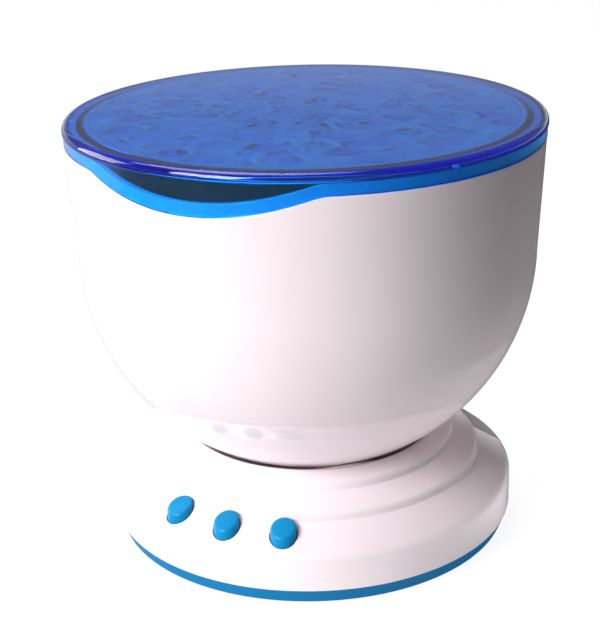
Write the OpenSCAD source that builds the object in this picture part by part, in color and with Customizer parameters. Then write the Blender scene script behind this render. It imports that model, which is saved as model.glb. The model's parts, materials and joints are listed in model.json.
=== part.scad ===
// Water ripple projection lamp: a ball-shaped head with a rippled lid, which swivels on an
// oblique axis in the collar of a stepped round base with push buttons and a battery bay.
// Millimetres. Origin at the middle of the footprint, +Z up, the buttons face -Y.

/* [Head] */
// Radius of the ball that forms the lower part of the head
ball_r = 64.3; // [62:0.1:68]
// How much wider the bowl is at its shoulder than the ball
wall_draft = 1.5; // [0.6:0.1:2.5]
// Wall thickness of the bowl
bowl_wall = 2.2; // [1.8:0.1:3]
// Thickness of the bowl's floor at the swivel
bowl_floor_t = 2.4; // [1.6:0.1:4]
// Height of the lid's top above the ball's centre
head_rise = 37.2; // [34:0.1:42]

/* [Lid] */
// How far the rim's bead stands out past the bowl's shoulder
lid_overhang = 0.4; // [0.2:0.1:1.5]
// How far the skirt stands out past the bowl's shoulder
skirt_out = 0.1; // [0.1:0.05:0.4]
// Thickness of the lid's top plate
lid_top_t = 2.4; // [1.8:0.1:3]
// Thickness of the lid's skirt
skirt_t = 1.6; // [1.2:0.1:2]
// Height of the lid from its top to the skirt's lower edge
skirt_h = 5.7; // [5:0.1:9]
// Height of the rim's bead
bead_h = 2.2; // [1.6:0.1:2.6]
// How far the skirt laps over the bowl's rim
rim_lap = 3.2; // [2.5:0.1:4.2]
// Radius of the arc that the dip at the front follows
dip_r = 88; // [70:1:120]
// Depth of the dip at the front
dip_depth = 6.1; // [3:0.1:9]
// Width of the border between the rippled field and the lid's edge
border_w = 7.8; // [6:0.1:12]
// Depth of the rippled field in the lid's underside
field_sink = 0.4; // [0.2:0.1:0.6]
// Width of the groove round the rippled field
ring_w = 2.2; // [1:0.1:3]
// Depth of that groove
ring_sink = 0.7; // [0.3:0.1:1]
// Number of lugs inside the skirt
lug_count = 3; // [2:1:6]
// Width of a lug
lug_w = 2; // [1:0.1:4]
// Depth of a lug, towards the axis
lug_depth = 1.6; // [1:0.1:1.8]
// Room beside a lug in its slot in the bowl's rim
lug_play = 0.6; // [0.2:0.1:1]
// Clearance between the skirt and the bowl's rim
lid_clear = 0.15; // [0.1:0.05:0.3]

/* [Swivel] */
// Tilt of the swivel's axis
swivel_tilt = 25; // [20:0.5:30]
// Heading of the axis below the ball, from the front towards +X
swivel_heading = 47; // [0:1:90]
// Radius of the flat on the ball that turns on the seat ring
flat_r = 10; // [9:0.1:11]
// Gap between that flat and the seat ring
seat_gap = 0.3; // [0.2:0.05:0.6]
// Radius of the hollow swivel tube
tube_r = 5; // [4:0.1:6]
// Wall thickness of the swivel tube
tube_wall = 1.6; // [1:0.1:2]
// Thickness of the friction washer
washer_t = 0.8; // [0.4:0.1:1.5]
// Wall thickness of the swivel's nuts at the flats
nut_wall = 1.5; // [1.2:0.1:1.8]
// Height of the swivel's nuts
nut_h = 3; // [2:0.1:3.2]
// Thickness of the pad under the dish that the lower nut bears on
pad_t = 1.7; // [1:0.1:1.9]

/* [Base] */
// Gap between the ball and the dish in the base
dish_gap = 0.8; // [0.6:0.1:1.5]
// Thickness of the dish
dish_t = 1.6; // [1.4:0.1:2.5]
// Wall thickness of the base shell, sideways and downwards
shell_t = 1.8; // [1.4:0.1:2.2]
// Height of the blue ring's top edge
pan_h = 4.7; // [4:0.1:5]
// How much the blue ring draws in towards the floor
pan_taper = 1.7; // [0.5:0.1:3]
// Wall thickness of the pan's upstand
upstand_t = 1.7; // [1.2:0.1:2.2]
// Height of the upstand inside the base shell
upstand_h = 2.6; // [1.5:0.1:3.5]
// Height of the base's outer wall
wall_top = 15; // [13:0.1:17]
// Width of the lower tread, which carries the buttons
tread_1_w = 9.3; // [8.5:0.1:12]
// Rise of the lower tread
tread_1_rise = 5.35; // [4:0.05:7]
// Width of the riser above the lower tread
riser_w = 0.5; // [0.3:0.1:2]
// Height of that riser
riser_h = 2.05; // [1:0.05:3]
// Width of the middle tread
tread_2_w = 6.9; // [5:0.1:9]
// Rise of the middle tread
tread_2_rise = 3; // [2:0.1:4]
// Width of the riser above the middle tread
riser_2_w = 0.5; // [0.3:0.1:2]
// Height of that riser
riser_2_h = 2; // [1:0.05:3]
// Width of the collar's slope, from its lip outwards
collar_w = 4.3; // [3:0.1:6]
// Rise of the collar's slope
collar_rise = 1.9; // [1:0.1:3]
// Width of the collar's lip
lip_w = 0.8; // [0.6:0.1:2]
// Thickness of the base's floor
floor_t = 2; // [1.9:0.1:2.6]
// How far the feet stand out below the floor
foot_proud = 0.4; // [0.3:0.1:1.5]
// Depth of a foot's pocket in the floor
foot_sink = 0.8; // [0.4:0.1:1.2]
// Radius of a foot
foot_r = 5.5; // [4:0.1:6]
// Distance of the feet and case screws in from the base's wall
foot_inset = 11.2; // [10:0.1:13]

/* [Buttons] */
// Radius of a button
button_r = 3.55; // [3:0.05:4]
// How far a button stands above the tread at its axis
button_proud = 2.4; // [2:0.1:5]
// Distance of the buttons in from the base's wall
button_inset = 5.7; // [5:0.1:7]
// Slope of a button's top
button_slope = 23; // [0:1:30]
// Angle between neighbouring buttons
button_step = 17.5; // [16.5:0.5:20]
// Gap round a button in its hole
button_gap = 0.25; // [0.2:0.05:0.5]
// Travel of a button
button_travel = 0.6; // [0.3:0.05:0.8]
// Thickness of a button's flange
flange_t = 1; // [0.6:0.1:1.2]
// How far the flange reaches past the button
flange_w = 1.45; // [1:0.05:1.6]

/* [Battery bay] */
// Diameter of a cell
cell_d = 14.2; // [13.5:0.1:14.5]
// Length of a cell over its nub
cell_l = 50.5; // [49.5:0.1:50.5]
// Number of cells side by side
cell_count = 3; // [2:1:3]
// Gap between neighbouring cells
cell_gap = 0.5; // [0.3:0.1:0.8]
// Room for the contacts at each end of a cell
contact_l = 3; // [2.5:0.1:3.5]
// Distance of the bay's front end ahead of the axis
bay_front = 16.2; // [15.5:0.1:17]
// Wall thickness of the bay
bay_wall = 1.6; // [1.2:0.1:2]
// Height of the bay's walls above the floor
bay_h = 7.4; // [5:0.1:9]
// Thickness of the battery door
door_t = 1.5; // [1.4:0.1:1.8]
// Gap round the battery door
door_gap = 0.25; // [0.15:0.05:0.4]
// Width of the ledge that the door closes against
door_ledge = 1; // [0.6:0.1:1.2]
// Clearance between the cells and the dish above them
bay_clear = 0.4; // [0.3:0.1:2]
// Radius of the door's hinge pins
hinge_r = 0.5; // [0.4:0.05:0.55]

/* [Ripple drive] */
// Gear module
gear_m = 0.8; // [0.7:0.05:0.9]
// Teeth of the disc's gear
disc_teeth = 56; // [48:4:60]
// Teeth of the motor's pinion
pinion_teeth = 14; // [12:2:16]
// Extra centre distance and backlash of the gear pair
mesh_gap = 0.1; // [0.05:0.05:0.2]
// Width of the gears
gear_w = 4; // [3:0.1:5]
// Gap from the edges of the light tray and the ripple disc to the bowl
disc_gap = 6; // [3:0.1:8]
// Thickness of the ripple disc
disc_t = 2.5; // [1.5:0.1:4]
// Radius of the disc's spindle
spindle_r = 2; // [1.5:0.1:2.5]
// Running clearance on spindles, shafts and pins
run_clear = 0.05; // [0.03:0.01:0.08]
// Drop of the light tray's underside below the ball's centre
tray_drop = 13; // [10:0.1:15]
// Thickness of the light tray
tray_t = 2.4; // [2:0.1:3]
// Height of the disc above the tray
disc_lift = 17.6; // [16:0.1:19]
// Distance of the tray's posts and screws in from its edge
post_inset = 8.3; // [7:0.1:10]
// Number of lamps on the ring board
led_count = 12; // [6:6:18]
// Radius of a lamp's lens
led_r = 2.5; // [1.5:0.1:2.6]
// Distance of the lamps in from the tray's edge
led_inset = 10.3; // [9:0.1:12]
// Radius of the motor's can
motor_r = 12; // [10:0.1:13]
// Length of the motor's can
motor_l = 17; // [12:0.5:19]

/* [Sockets and speaker] */
// Radius of a socket's nose
nose_r = 2.6; // [2.2:0.1:2.7]
// Radius of the audio socket's bore
audio_bore_r = 1.8; // [1.76:0.01:1.9]
// Radius of the power socket's bore
power_bore_r = 1.9; // [1.7:0.05:2]
// Height of the sockets' axes
socket_z = 8; // [7.6:0.1:8.4]
// Distance of each socket from the middle of the back
socket_x = 8; // [6:0.5:12]
// Radius of the speaker
speaker_r = 12; // [9:0.5:12.5]
// Distance of the speaker's edge from the pan's inside wall
speaker_inset = 2.9; // [2:0.1:3.5]

/* [Hidden] */
$fn = 96;

// Anything larger than the lamp, for cutting and trimming
far = 300;
// Overlap that lets a cut pass clear of a face
eps = 0.5;
// Fixed fits: parts pressed or glued together, and loose gaps between fixed parts
press_gap = 0.02;
loose = 0.15;

// Heights from the floor upwards to the ball
floor_top = foot_proud + floor_t;
door_top = foot_proud + door_t;
cell_lift = 0.2;
cell_z = door_top + cell_lift + cell_d / 2;
dish_r = ball_r + dish_gap;
ball_z = cell_z + cell_d / 2 + bay_clear + dish_t + dish_r;
total_h = ball_z + head_rise;

// Steps of the base, from the collar outwards
step_1_z = wall_top + tread_1_rise;
riser_z = step_1_z + riser_h;
step_2_z = riser_z + tread_2_rise;
riser_2_z = step_2_z + riser_2_h;
collar_z = riser_2_z + collar_rise;
lip_r = sqrt(dish_r * dish_r - (ball_z - collar_z) * (ball_z - collar_z));
collar_r = lip_r + lip_w;
riser_2_r = collar_r + collar_w;
step_2_r = riser_2_r + riser_2_w;
riser_r = step_2_r + tread_2_w;
step_1_r = riser_r + riser_w;
base_r = step_1_r + tread_1_w;
foot_ring_r = base_r - foot_inset;
upstand_r = base_r - shell_t - loose;
pan_in_r = upstand_r - upstand_t;
edge_round = 2.5;
crease_round = 0.5;
crest_round = 1.6;
lip_round = lip_w * 0.6;
pan_round = 0.5;
foot_count = 4;
foot_start = 45;
foot_round = foot_proud * 0.8;
foot_gap = 0.1;
thread_l = 6;

// Buttons stand upright in the lower tread, with their switches a little further in
button_ring_r = base_r - button_inset;
button_angles = [-button_step, 0, button_step];
tread_slope = atan(tread_1_rise / tread_1_w);
function tread_z(r) = wall_top + (base_r - r) * tread_1_rise / tread_1_w;
skin_t = shell_t * (1 + tan(tread_slope));
flange_gap = 0.45;
flange_r = button_r + flange_w;
flange_top = -skin_t - flange_gap;
flange_low = flange_top - flange_t - flange_r * tan(tread_slope);
switch_w = 6;
switch_h = 3.5;
switch_in = 2.4;
plunger_r = 1.7;
plunger_h = 0.8;
stem_l = 1.5;
stem_w = 0.4;
stem_r = plunger_r + stem_w;
plunger_z = flange_low - stem_l;
press_room = 0.4;
stem_end = plunger_z + button_travel + press_room;
board_t = 1.2;
board_top = plunger_z - plunger_h - switch_h;
board_margin = 1.5;
board_post_r = 2.2;
board_wall_gap = 0.3;
board_x = button_ring_r * sin(button_step) + switch_w / 2 + board_margin;
board_screw_x = button_ring_r * sin(button_step) / 2;
board_post_gap = 2;
board_screw_y = switch_in + board_post_gap;
board_high = button_ring_r * (1 - cos(button_step)) + switch_in + switch_w / 2 + board_margin;

// Lid and bowl rim
shoulder_r = ball_r + wall_draft;
lid_r = shoulder_r + lid_overhang;
field_r = lid_r - border_w;
skirt_r = shoulder_r + skirt_out;
skirt_in_r = skirt_r - skirt_t;
rim_r = skirt_in_r - lid_clear;
rim_gap = 0.08;
skirt_lift = max(0, lid_top_t + rim_gap + rim_lap - skirt_h);
edge_z = total_h - skirt_h - skirt_lift;
dip_z = edge_z - dip_depth + dip_r;
bead_round = 1;
bead_foot = 0.3;
wall_top_r = ball_r + wall_draft * head_rise / (head_rise - skirt_h);
cavity_r = ball_r - bowl_wall;

// Swivel: distances along its axis from the ball's centre
head_cut = -sqrt(ball_r * ball_r - flat_r * flat_r);
seat_top = head_cut - seat_gap;
bowl_floor_top = head_cut + bowl_floor_t;
nut_low = bowl_floor_top + washer_t + loose;
pad_z = -dish_r - dish_t - pad_t;
seat_w = 3.8;
seat_r = tube_r + seat_w;
pad_w = 1.2;
pad_r = seat_r + pad_w;
washer_w = 4.5;
washer_r = tube_r + washer_w;
thread_end = 0.5;

// Light tray and ripple drive
tray_z = ball_z - tray_drop;
tray_top = tray_z + tray_t;
tray_r = cavity_r - disc_gap;
post_ring_r = tray_r - post_inset;
led_ring_r = tray_r - led_inset;
disc_z = tray_top + disc_lift;
gear_centre = gear_m * (disc_teeth + pinion_teeth) / 2 + mesh_gap;
hub_w = 4;
hub_r = spindle_r + hub_w;
stub_w = 3;
stub_r = spindle_r + stub_w;
stub_h = 5.6;
hub_gap = 0.3;
gear_lift = 0.5;
gear_z = tray_top + stub_h + hub_gap + gear_lift;
shaft_r = 1.5;
shaft_stop = 4;
shaft_room = 1.5;
shaft_proud = 1;
motor_ear = 7;
motor_screw_w = 3.5;
motor_screw_y = motor_r + motor_screw_w;
ear_t = 1.2;
spindle_drop = 4;
led_h = 5;
led_rim = 0.4;
led_rim_h = 1;
post_count = 3;
post_r = 4;
ring_board_t = 1.6;
ring_board_w = 14;
clip_t = 0.8;
clip_w = 2.2;

// Sockets in the back wall
nose_sink = 0.9;
nose_y = base_r - nose_sink;
socket_w = 6;
socket_l = 9.5;
socket_h = 5.6;
socket_bore_l = 12;
socket_set = 3.4;
socket_y = base_r - shell_t - socket_set;
socket_gap = 0.5;

// Battery bay
cell_pitch = cell_d + cell_gap;
bay_x = cell_count * cell_pitch / 2 + loose;
bay_l = cell_l + 2 * contact_l;
bay_back = socket_y - socket_l - socket_gap - bay_wall;
bay_y0 = -max(bay_front, bay_l - bay_back);
bay_y1 = bay_y0 + bay_l;
open_x = bay_x + door_ledge;
open_y0 = bay_y0 - door_ledge;
open_y1 = bay_y1 + door_ledge;
tab_x = 5;
tab_l = 8;
door_screw_y = open_y0 - tab_l / 2;
barrel_r = 1;
hinge_out = barrel_r + door_gap;
hinge_y = open_y1 + hinge_out;
hinge_z = foot_proud + barrel_r;
hinge_gap = 0.5;
barrel_w = 8;
barrel_x = bay_x * 0.6;
pin_l = 1.5;
pin_end_gap = 0.3;
door_block_h = 4.4;
door_screw_r = 1.2;
door_screw_l = 3.8;
door_screw_head_r = 2.4;
door_screw_head_h = 0.9;
door_screw_room = 0.6;
web_low = barrel_r * 0.8;
web_h = barrel_r * 1.3;
web_lap = 1;
nub_r = 2.7;
nub_h = 1;
contact_w = 11;
contact_t = 0.5;
contact_edge = 1;
spring_r = contact_w / 2 - contact_edge;
pip_w = 0.4;
pip_r = nub_r + pip_w;

// Screws
screw_r = 1.4;
screw_head_r = 2.7;
screw_head_h = 1.8;
head_room = 0.3;
tip_gap = 0.2;
board_head_r = 2.2;
board_head_h = 1.4;
small_screw_r = 1;
small_head_r = 1.9;
small_head_h = 1.2;
case_boss_r = 3.4;
pan_boss_w = 1;
pan_boss_r = foot_r + pan_boss_w;
pan_boss_h = 3.6;
pan_boss_top = floor_top + pan_boss_h;
head_seat_t = 1.8;
bore_top = pan_boss_top - head_seat_t;

// Speaker, control board and room round the sockets
slot_room = 0.6;
slot_back = 1;
power_pin_r = 0.65;
power_pin_sink = 1;
speaker_x = pan_in_r - speaker_r - speaker_inset;
speaker_h = 8;
speaker_rim_t = 1;
speaker_seat_w = 1;
speaker_seat_h = 2;
magnet_h = 3;
magnet_lip = 0.5;
basket_rim = 1.4;
basket_low = speaker_r - basket_rim;
basket_high = 4.5;
basket_h = 4.2;
basket_wall = 2;
cone_gap = 0.25;
cone_wall = 0.65;
cone_low = 0.3;
cone_stop = 0.5;
cone_high = basket_h - cone_stop;
grille_rings = 2;
grille_r = 1.1;
grille_step = 4;
control_w = 18;
control_l = 34;
control_gap = 15;
control_x = -bay_x - bay_wall - control_gap;
control_lift = 2.4;
control_z = floor_top + control_lift;
control_edge = 3;
control_screw_y = control_l / 2 - control_edge;
control_post_r = 2.5;
post_bite = 2;
chip = [8, 10, 1.6];
capacitor_r = 2.2;
capacitor_h = 5;
capacitor_x = 4;
capacitor_y = 9;

// Rounds the corners of an outline given as [x, y, radius] points
function unit(v) = v / norm(v);
function turn(a) = a > 180 ? a - 360 : a < -180 ? a + 360 : a;
function fillet(p, q, s, r, n = 6) = let(
    u = unit(p - q),
    v = unit(s - q),
    half = acos(u * v) / 2,
    c = q + unit(u + v) * r / sin(half),
    from = q + u * r / tan(half) - c,
    to = q + v * r / tan(half) - c,
    a = atan2(from.y, from.x),
    sweep = turn(atan2(to.y, to.x) - a))
  [for (i = [0 : n]) c + r * [cos(a + sweep * i / n), sin(a + sweep * i / n)]];
function flat(p) = [p.x, p.y];
function rounded(pts) = let(n = len(pts)) [for (i = [0 : n - 1]) each pts[i].z == 0 ? [flat(pts[i])]
  : fillet(flat(pts[(i + n - 1) % n]), flat(pts[i]), flat(pts[(i + 1) % n]), pts[i].z)];

// Involute gear outline, with a tooth on the +X axis
pressure = 20;
function involute(a) = tan(a) * 180 / PI - a;
function tooth_half(r, teeth) = let(base = gear_m * teeth / 2 * cos(pressure))
  90 / teeth - mesh_gap * 90 / (PI * gear_m * teeth) + involute(pressure) - involute(acos(min(1, base / r)));
function gear_points(teeth) = let(
    pitch = gear_m * teeth / 2,
    radii = [pitch - 1.1 * gear_m, pitch - 0.4 * gear_m, pitch + 0.2 * gear_m, pitch + 0.85 * gear_m])
  [for (t = [0 : teeth - 1], side = [-1, 1], i = [0 : 3]) let(
    r = radii[side < 0 ? i : 3 - i],
    a = 360 * t / teeth + side * tooth_half(r, teeth))
    r * [cos(a), sin(a)]];

// Places children at the ball's centre, with Z along the swivel's axis
module at_swivel() {
  translate([0, 0, ball_z])
    rotate([0, swivel_tilt, swivel_heading + 90])
      children();
}

// Places children on the lower tread at an angle from the front
module at_button(a) {
  rotate([0, 0, a])
    translate([0, -button_ring_r, tread_z(button_ring_r)])
      children();
}

// Everything on the upper side of a level
module half_space(level) {
  translate([-far / 2, -far / 2, level])
    cube(far);
}

// Everything above a plane that slopes down towards the front
module above_slope(level, slope) {
  translate([0, 0, level])
    rotate([slope, 0, 0])
      half_space(0);
}

// Everything on the lower side of a level
module under(level) {
  mirror([0, 0, 1])
    half_space(-level);
}

// Copies children round the vertical axis
module around(count, radius, start = 0) {
  for (i = [0 : count - 1])
    rotate([0, 0, start + 360 * i / count])
      translate([radius, 0, 0])
        children();
}

// Copies children to the feet
module at_feet() {
  around(foot_count, foot_ring_r, foot_start)
    children();
}

// Copies children to the tray's posts
module at_posts() {
  around(post_count, post_ring_r, 90)
    children();
}

// Everything above the skirt's lower edge, with its dip at the front, raised by lift
module above_edge(lift) {
  translate([0, 0, edge_z + lift])
    cylinder(h = far, r = far / 2);
  translate([0, 0, dip_z])
    rotate([90, 0, 0])
      cylinder(h = far, r = dip_r - lift);
}

// A ring or a pipe
module pipe(outer, inner, h) {
  difference() {
    cylinder(h = h, r = outer);
    translate([0, 0, -eps])
      cylinder(h = h + 2 * eps, r = inner);
  }
}

// A screw pointing up, its head below the origin, with a cross recess
module screw(length, shank = screw_r, head = screw_head_r, head_h = screw_head_h) {
  recess = head * 0.4;
  reach = head * 0.6;
  difference() {
    union() {
      translate([0, 0, -head_h])
        cylinder(h = head_h, r = head);
      cylinder(h = length, r = shank);
    }
    for (a = [0, 90])
      rotate([0, 0, a])
        translate([-reach, -recess / 2, -head_h - eps])
          cube([2 * reach, recess, head_h / 2 + eps]);
  }
}

// A small screw for boards and the motor
module small_screw(length) {
  screw(length, shank = small_screw_r, head = small_head_r, head_h = small_head_h);
}

// A hexagon with a flat facing the swivel's high side, given by its half width over the flats
module hexagon(h, half) {
  rotate([0, 0, 30])
    cylinder(h = h, r = half / cos(30), $fn = 6);
}

// A hexagon nut
module hex_nut() {
  difference() {
    hexagon(nut_h, tube_r + nut_wall);
    translate([0, 0, -eps])
      cylinder(h = nut_h + 2 * eps, r = tube_r + press_gap);
  }
}

// Stepped outline of the base as a solid of revolution, drawn in and lowered by an inset
module base_form(inset = 0) {
  rotate_extrude()
    polygon(rounded([[0, pan_h - inset, 0], [base_r - inset, pan_h - inset, 0],
      [base_r - inset, wall_top - inset, edge_round],
      [step_1_r - inset, step_1_z - inset, crease_round], [riser_r - inset, riser_z - inset, crest_round],
      [step_2_r - inset, step_2_z - inset, crease_round],
      [riser_2_r - inset, riser_2_z - inset, crest_round],
      [collar_r - inset, collar_z - inset, lip_round], [0, collar_z - inset, 0]]));
}

// Bosses inside the base shell: case screws, switch board and swivel pad
module base_bosses() {
  at_feet()
    translate([0, 0, pan_boss_top])
      cylinder(h = collar_z, r = case_boss_r);
  at_button(0)
    for (side = [-1, 1])
      translate([side * board_screw_x, board_screw_y, board_top])
        cylinder(h = -board_top, r = board_post_r);
  at_swivel()
    translate([0, 0, pad_z])
      cylinder(h = pad_t + dish_t, r = pad_r);
}

module base_shell() {
  color("whitesmoke")
    difference() {
      base_form();
      difference() {
        base_form(shell_t);
        translate([0, 0, ball_z])
          sphere(dish_r + dish_t);
        base_bosses();
      }
      translate([0, 0, ball_z])
        sphere(dish_r);
      at_swivel() {
        translate([0, 0, -dish_r])
          cylinder(h = seat_r, r = seat_r + loose);
        translate([0, 0, pad_z - eps])
          cylinder(h = seat_r, r = tube_r + loose);
        translate([0, 0, pad_z - nut_h - thread_end - loose])
          hexagon(nut_h + thread_end, tube_r + nut_wall + press_gap);
      }
      at_feet()
        translate([0, 0, pan_boss_top - eps])
          cylinder(h = thread_l + eps, r = screw_r + press_gap);
      for (a = button_angles)
        at_button(a)
          translate([0, 0, flange_top - (button_r + button_gap) * tan(tread_slope)])
            cylinder(h = far, r = button_r + button_gap);
      at_button(0)
        for (side = [-1, 1])
          translate([side * board_screw_x, board_screw_y, board_top - eps])
            cylinder(h = thread_l + eps, r = screw_r + press_gap);
      for (side = [-1, 1])
        translate([side * socket_x, socket_y, socket_z]) {
          rotate([-90, 0, 0])
            cylinder(h = base_r, r = nose_r + loose);
          translate([-socket_w / 2 - press_gap, -socket_l, -socket_h / 2])
            cube([socket_w + 2 * press_gap, socket_l + press_gap, socket_h + press_gap]);
        }
    }
}

// Outline of the battery door and its screw tab, drawn in by a gap, and by another at the hinge
module door_outline(gap, at_hinge) {
  translate([gap - open_x, open_y0 + gap])
    square([2 * (open_x - gap), open_y1 - open_y0 - gap - at_hinge]);
  translate([gap - tab_x, open_y0 - tab_l + gap])
    square([2 * (tab_x - gap), tab_l + eps]);
}

// Places children at the door's two hinge barrels, with X along the hinge
module at_barrels() {
  for (side = [-1, 1])
    translate([side * barrel_x, hinge_y, hinge_z])
      children();
}

// Walls, bosses, rests and posts that stand on the floor
module floor_fittings() {
  translate([-bay_x - bay_wall, bay_y0 - bay_wall, floor_top - eps])
    cube([2 * (bay_x + bay_wall), bay_y1 - bay_y0 + 2 * bay_wall, bay_h + eps]);
  translate([-tab_x - bay_wall, open_y0 - tab_l - bay_wall, floor_top - eps])
    cube([2 * (tab_x + bay_wall), tab_l + bay_wall + eps, door_block_h + eps]);
  at_feet()
    translate([0, 0, foot_proud])
      cylinder(h = pan_boss_top - foot_proud, r = pan_boss_r);
  for (side = [-1, 1]) {
    translate([side * socket_x - socket_w / 2, socket_y - socket_l / 2, floor_top - eps])
      cube([socket_w, socket_l / 2, socket_z - socket_h / 2 - floor_top + eps]);
    translate([control_x, side * control_screw_y, floor_top - eps])
      cylinder(h = control_z - floor_top + eps, r = control_post_r);
  }
  translate([speaker_x, 0, floor_top - eps])
    pipe(speaker_r + loose + speaker_seat_w, speaker_r + loose, speaker_seat_h + eps);
}

module bottom_cover() {
  color("dodgerblue") {
    difference() {
      union() {
        rotate_extrude()
          polygon(rounded([[0, foot_proud, 0], [base_r - pan_taper, foot_proud, pan_round],
            [base_r, pan_h, 0],
            [upstand_r, pan_h, 0], [upstand_r, pan_h + upstand_h, 0], [pan_in_r, pan_h + upstand_h, 0],
            [pan_in_r, floor_top, pan_round], [0, floor_top, 0]]));
        floor_fittings();
      }
      translate([0, 0, foot_proud - eps])
        linear_extrude(floor_t + eps)
          door_outline(0, 0);
      translate([-bay_x, bay_y0, floor_top - eps])
        cube([2 * bay_x, bay_y1 - bay_y0, far]);
      translate([0, door_screw_y, foot_proud])
        cylinder(h = floor_t + door_screw_l, r = door_screw_r + door_screw_room);
      at_feet() {
        translate([0, 0, foot_proud - eps])
          cylinder(h = foot_sink + eps, r = foot_r + foot_gap);
        translate([0, 0, foot_proud])
          cylinder(h = bore_top - foot_proud, r = screw_head_r + head_room);
        cylinder(h = far, r = screw_r + loose);
      }
      at_barrels()
        translate([-barrel_w / 2 - pin_end_gap, -hinge_y + open_y1 - eps, -hinge_z])
          cube([barrel_w + 2 * pin_end_gap, hinge_y - open_y1 + eps + barrel_r + pin_end_gap, floor_top]);
      for (side = [-1, 1]) {
        translate([side * socket_x - nose_r - slot_room, socket_y - slot_back, pan_h])
          cube([2 * (nose_r + slot_room), base_r, far]);
        translate([control_x, side * control_screw_y, control_z - post_bite])
          cylinder(h = far, r = small_screw_r + press_gap);
      }
      for (ring = [0 : grille_rings], i = [0 : max(0, 6 * ring - 1)])
        translate([speaker_x, 0, 0])
          rotate([0, 0, ring == 0 ? 0 : 60 * i / ring])
            translate([ring * grille_step, 0, 0])
              cylinder(h = floor_top + eps, r = grille_r);
    }
    at_barrels()
      for (side = [-1, 1])
        translate([side * (barrel_w / 2 + pin_end_gap + eps), 0, 0])
          rotate([0, -90 * side, 0])
            cylinder(h = pin_l + pin_end_gap + eps, r = hinge_r);
  }
}

module rubber_feet() {
  color("dimgray")
    at_feet()
      rotate_extrude()
        polygon(rounded([[0, 0, 0], [foot_r, 0, foot_round], [foot_r, foot_proud + foot_sink, 0],
          [0, foot_proud + foot_sink, 0]]));
}

module case_screws() {
  color("silver")
    at_feet()
      translate([0, 0, bore_top])
        screw(pan_boss_top - bore_top + thread_l - eps);
}

// Places children at each cell, with Z from its flat end to its nub
module at_cells() {
  for (i = [0 : cell_count - 1])
    translate([(i - (cell_count - 1) / 2) * cell_pitch, (bay_y0 + bay_y1) / 2, cell_z])
      rotate([i % 2 == 0 ? -90 : 90, 0, 0])
        translate([0, 0, -cell_l / 2])
          children();
}

module battery_cells() {
  color("goldenrod")
    at_cells() {
      cylinder(h = cell_l - nub_h, r = cell_d / 2);
      cylinder(h = cell_l, r = nub_r);
    }
}

// A contact's square plate on the bay's end wall
module contact_plate() {
  translate([-contact_w / 2, -contact_w / 2, 0])
    cube([contact_w, contact_w, contact_t]);
}

module contact_springs() {
  color("lightsteelblue")
    at_cells()
      translate([0, 0, -contact_l]) {
        contact_plate();
        cylinder(h = contact_l - cell_lift, r1 = spring_r, r2 = nub_r);
      }
}

module contact_plates() {
  color("lightsteelblue")
    at_cells()
      translate([0, 0, cell_l + contact_l])
        mirror([0, 0, 1]) {
          contact_plate();
          cylinder(h = contact_l - cell_lift, r = pip_r);
        }
}

module switch_board() {
  color("seagreen")
    at_button(0)
      difference() {
        intersection() {
          translate([-board_x, -board_x, board_top - board_t])
            cube([2 * board_x, board_x + board_high, board_t]);
          translate([0, button_ring_r, board_top - board_t - eps])
            cylinder(h = board_t + 2 * eps, r = pan_in_r - board_wall_gap);
        }
        for (side = [-1, 1])
          translate([side * board_screw_x, board_screw_y, board_top - far / 2])
            cylinder(h = far, r = screw_r + loose);
      }
}

module tact_switches() {
  color("dimgray")
    for (a = button_angles)
      at_button(a)
        translate([0, switch_in, board_top]) {
          translate([-switch_w / 2, -switch_w / 2, 0])
            cube([switch_w, switch_w, switch_h]);
          cylinder(h = switch_h + plunger_h, r = plunger_r);
        }
}

module board_screws() {
  color("silver") {
    at_button(0)
      for (side = [-1, 1])
        translate([side * board_screw_x, board_screw_y, board_top - board_t])
          screw(board_t + thread_l - eps, head = board_head_r, head_h = board_head_h);
    for (side = [-1, 1])
      translate([control_x, side * control_screw_y, control_z + board_t])
        mirror([0, 0, 1])
          small_screw(board_t + post_bite - tip_gap);
  }
}

module control_board() {
  color("seagreen")
    difference() {
      translate([control_x, 0, control_z]) {
        translate([-control_w / 2, -control_l / 2, 0])
          cube([control_w, control_l, board_t]);
        translate([-chip.x / 2, -chip.y / 2, board_t - eps])
          cube(chip + [0, 0, eps]);
        for (side = [-1, 1])
          translate([capacitor_x, side * capacitor_y, board_t - eps])
            cylinder(h = capacitor_h + eps, r = capacitor_r);
      }
      for (side = [-1, 1])
        translate([control_x, side * control_screw_y, 0])
          cylinder(h = far, r = small_screw_r + loose);
    }
}

// A panel socket: a block with a round nose that shows in the base's back wall
module socket(side, bore) {
  translate([side * socket_x, socket_y, socket_z])
    difference() {
      union() {
        translate([-socket_w / 2, -socket_l, -socket_h / 2])
          cube([socket_w, socket_l, socket_h]);
        rotate([-90, 0, 0])
          cylinder(h = nose_y - socket_y, r = nose_r);
      }
      translate([0, nose_y - socket_y + eps, 0])
        rotate([90, 0, 0])
          cylinder(h = socket_bore_l + eps, r = bore);
    }
}

module dc_jack() {
  color("black") {
    socket(-1, power_bore_r);
    translate([-socket_x, nose_y - power_pin_sink, socket_z])
      rotate([90, 0, 0])
        cylinder(h = socket_bore_l, r = power_pin_r);
  }
}

module audio_jack() {
  color("black")
    socket(1, audio_bore_r);
}

// Inside radius of the speaker's basket at a height
function basket(z) = basket_low + (basket_high - basket_low) * z / basket_h;

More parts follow.
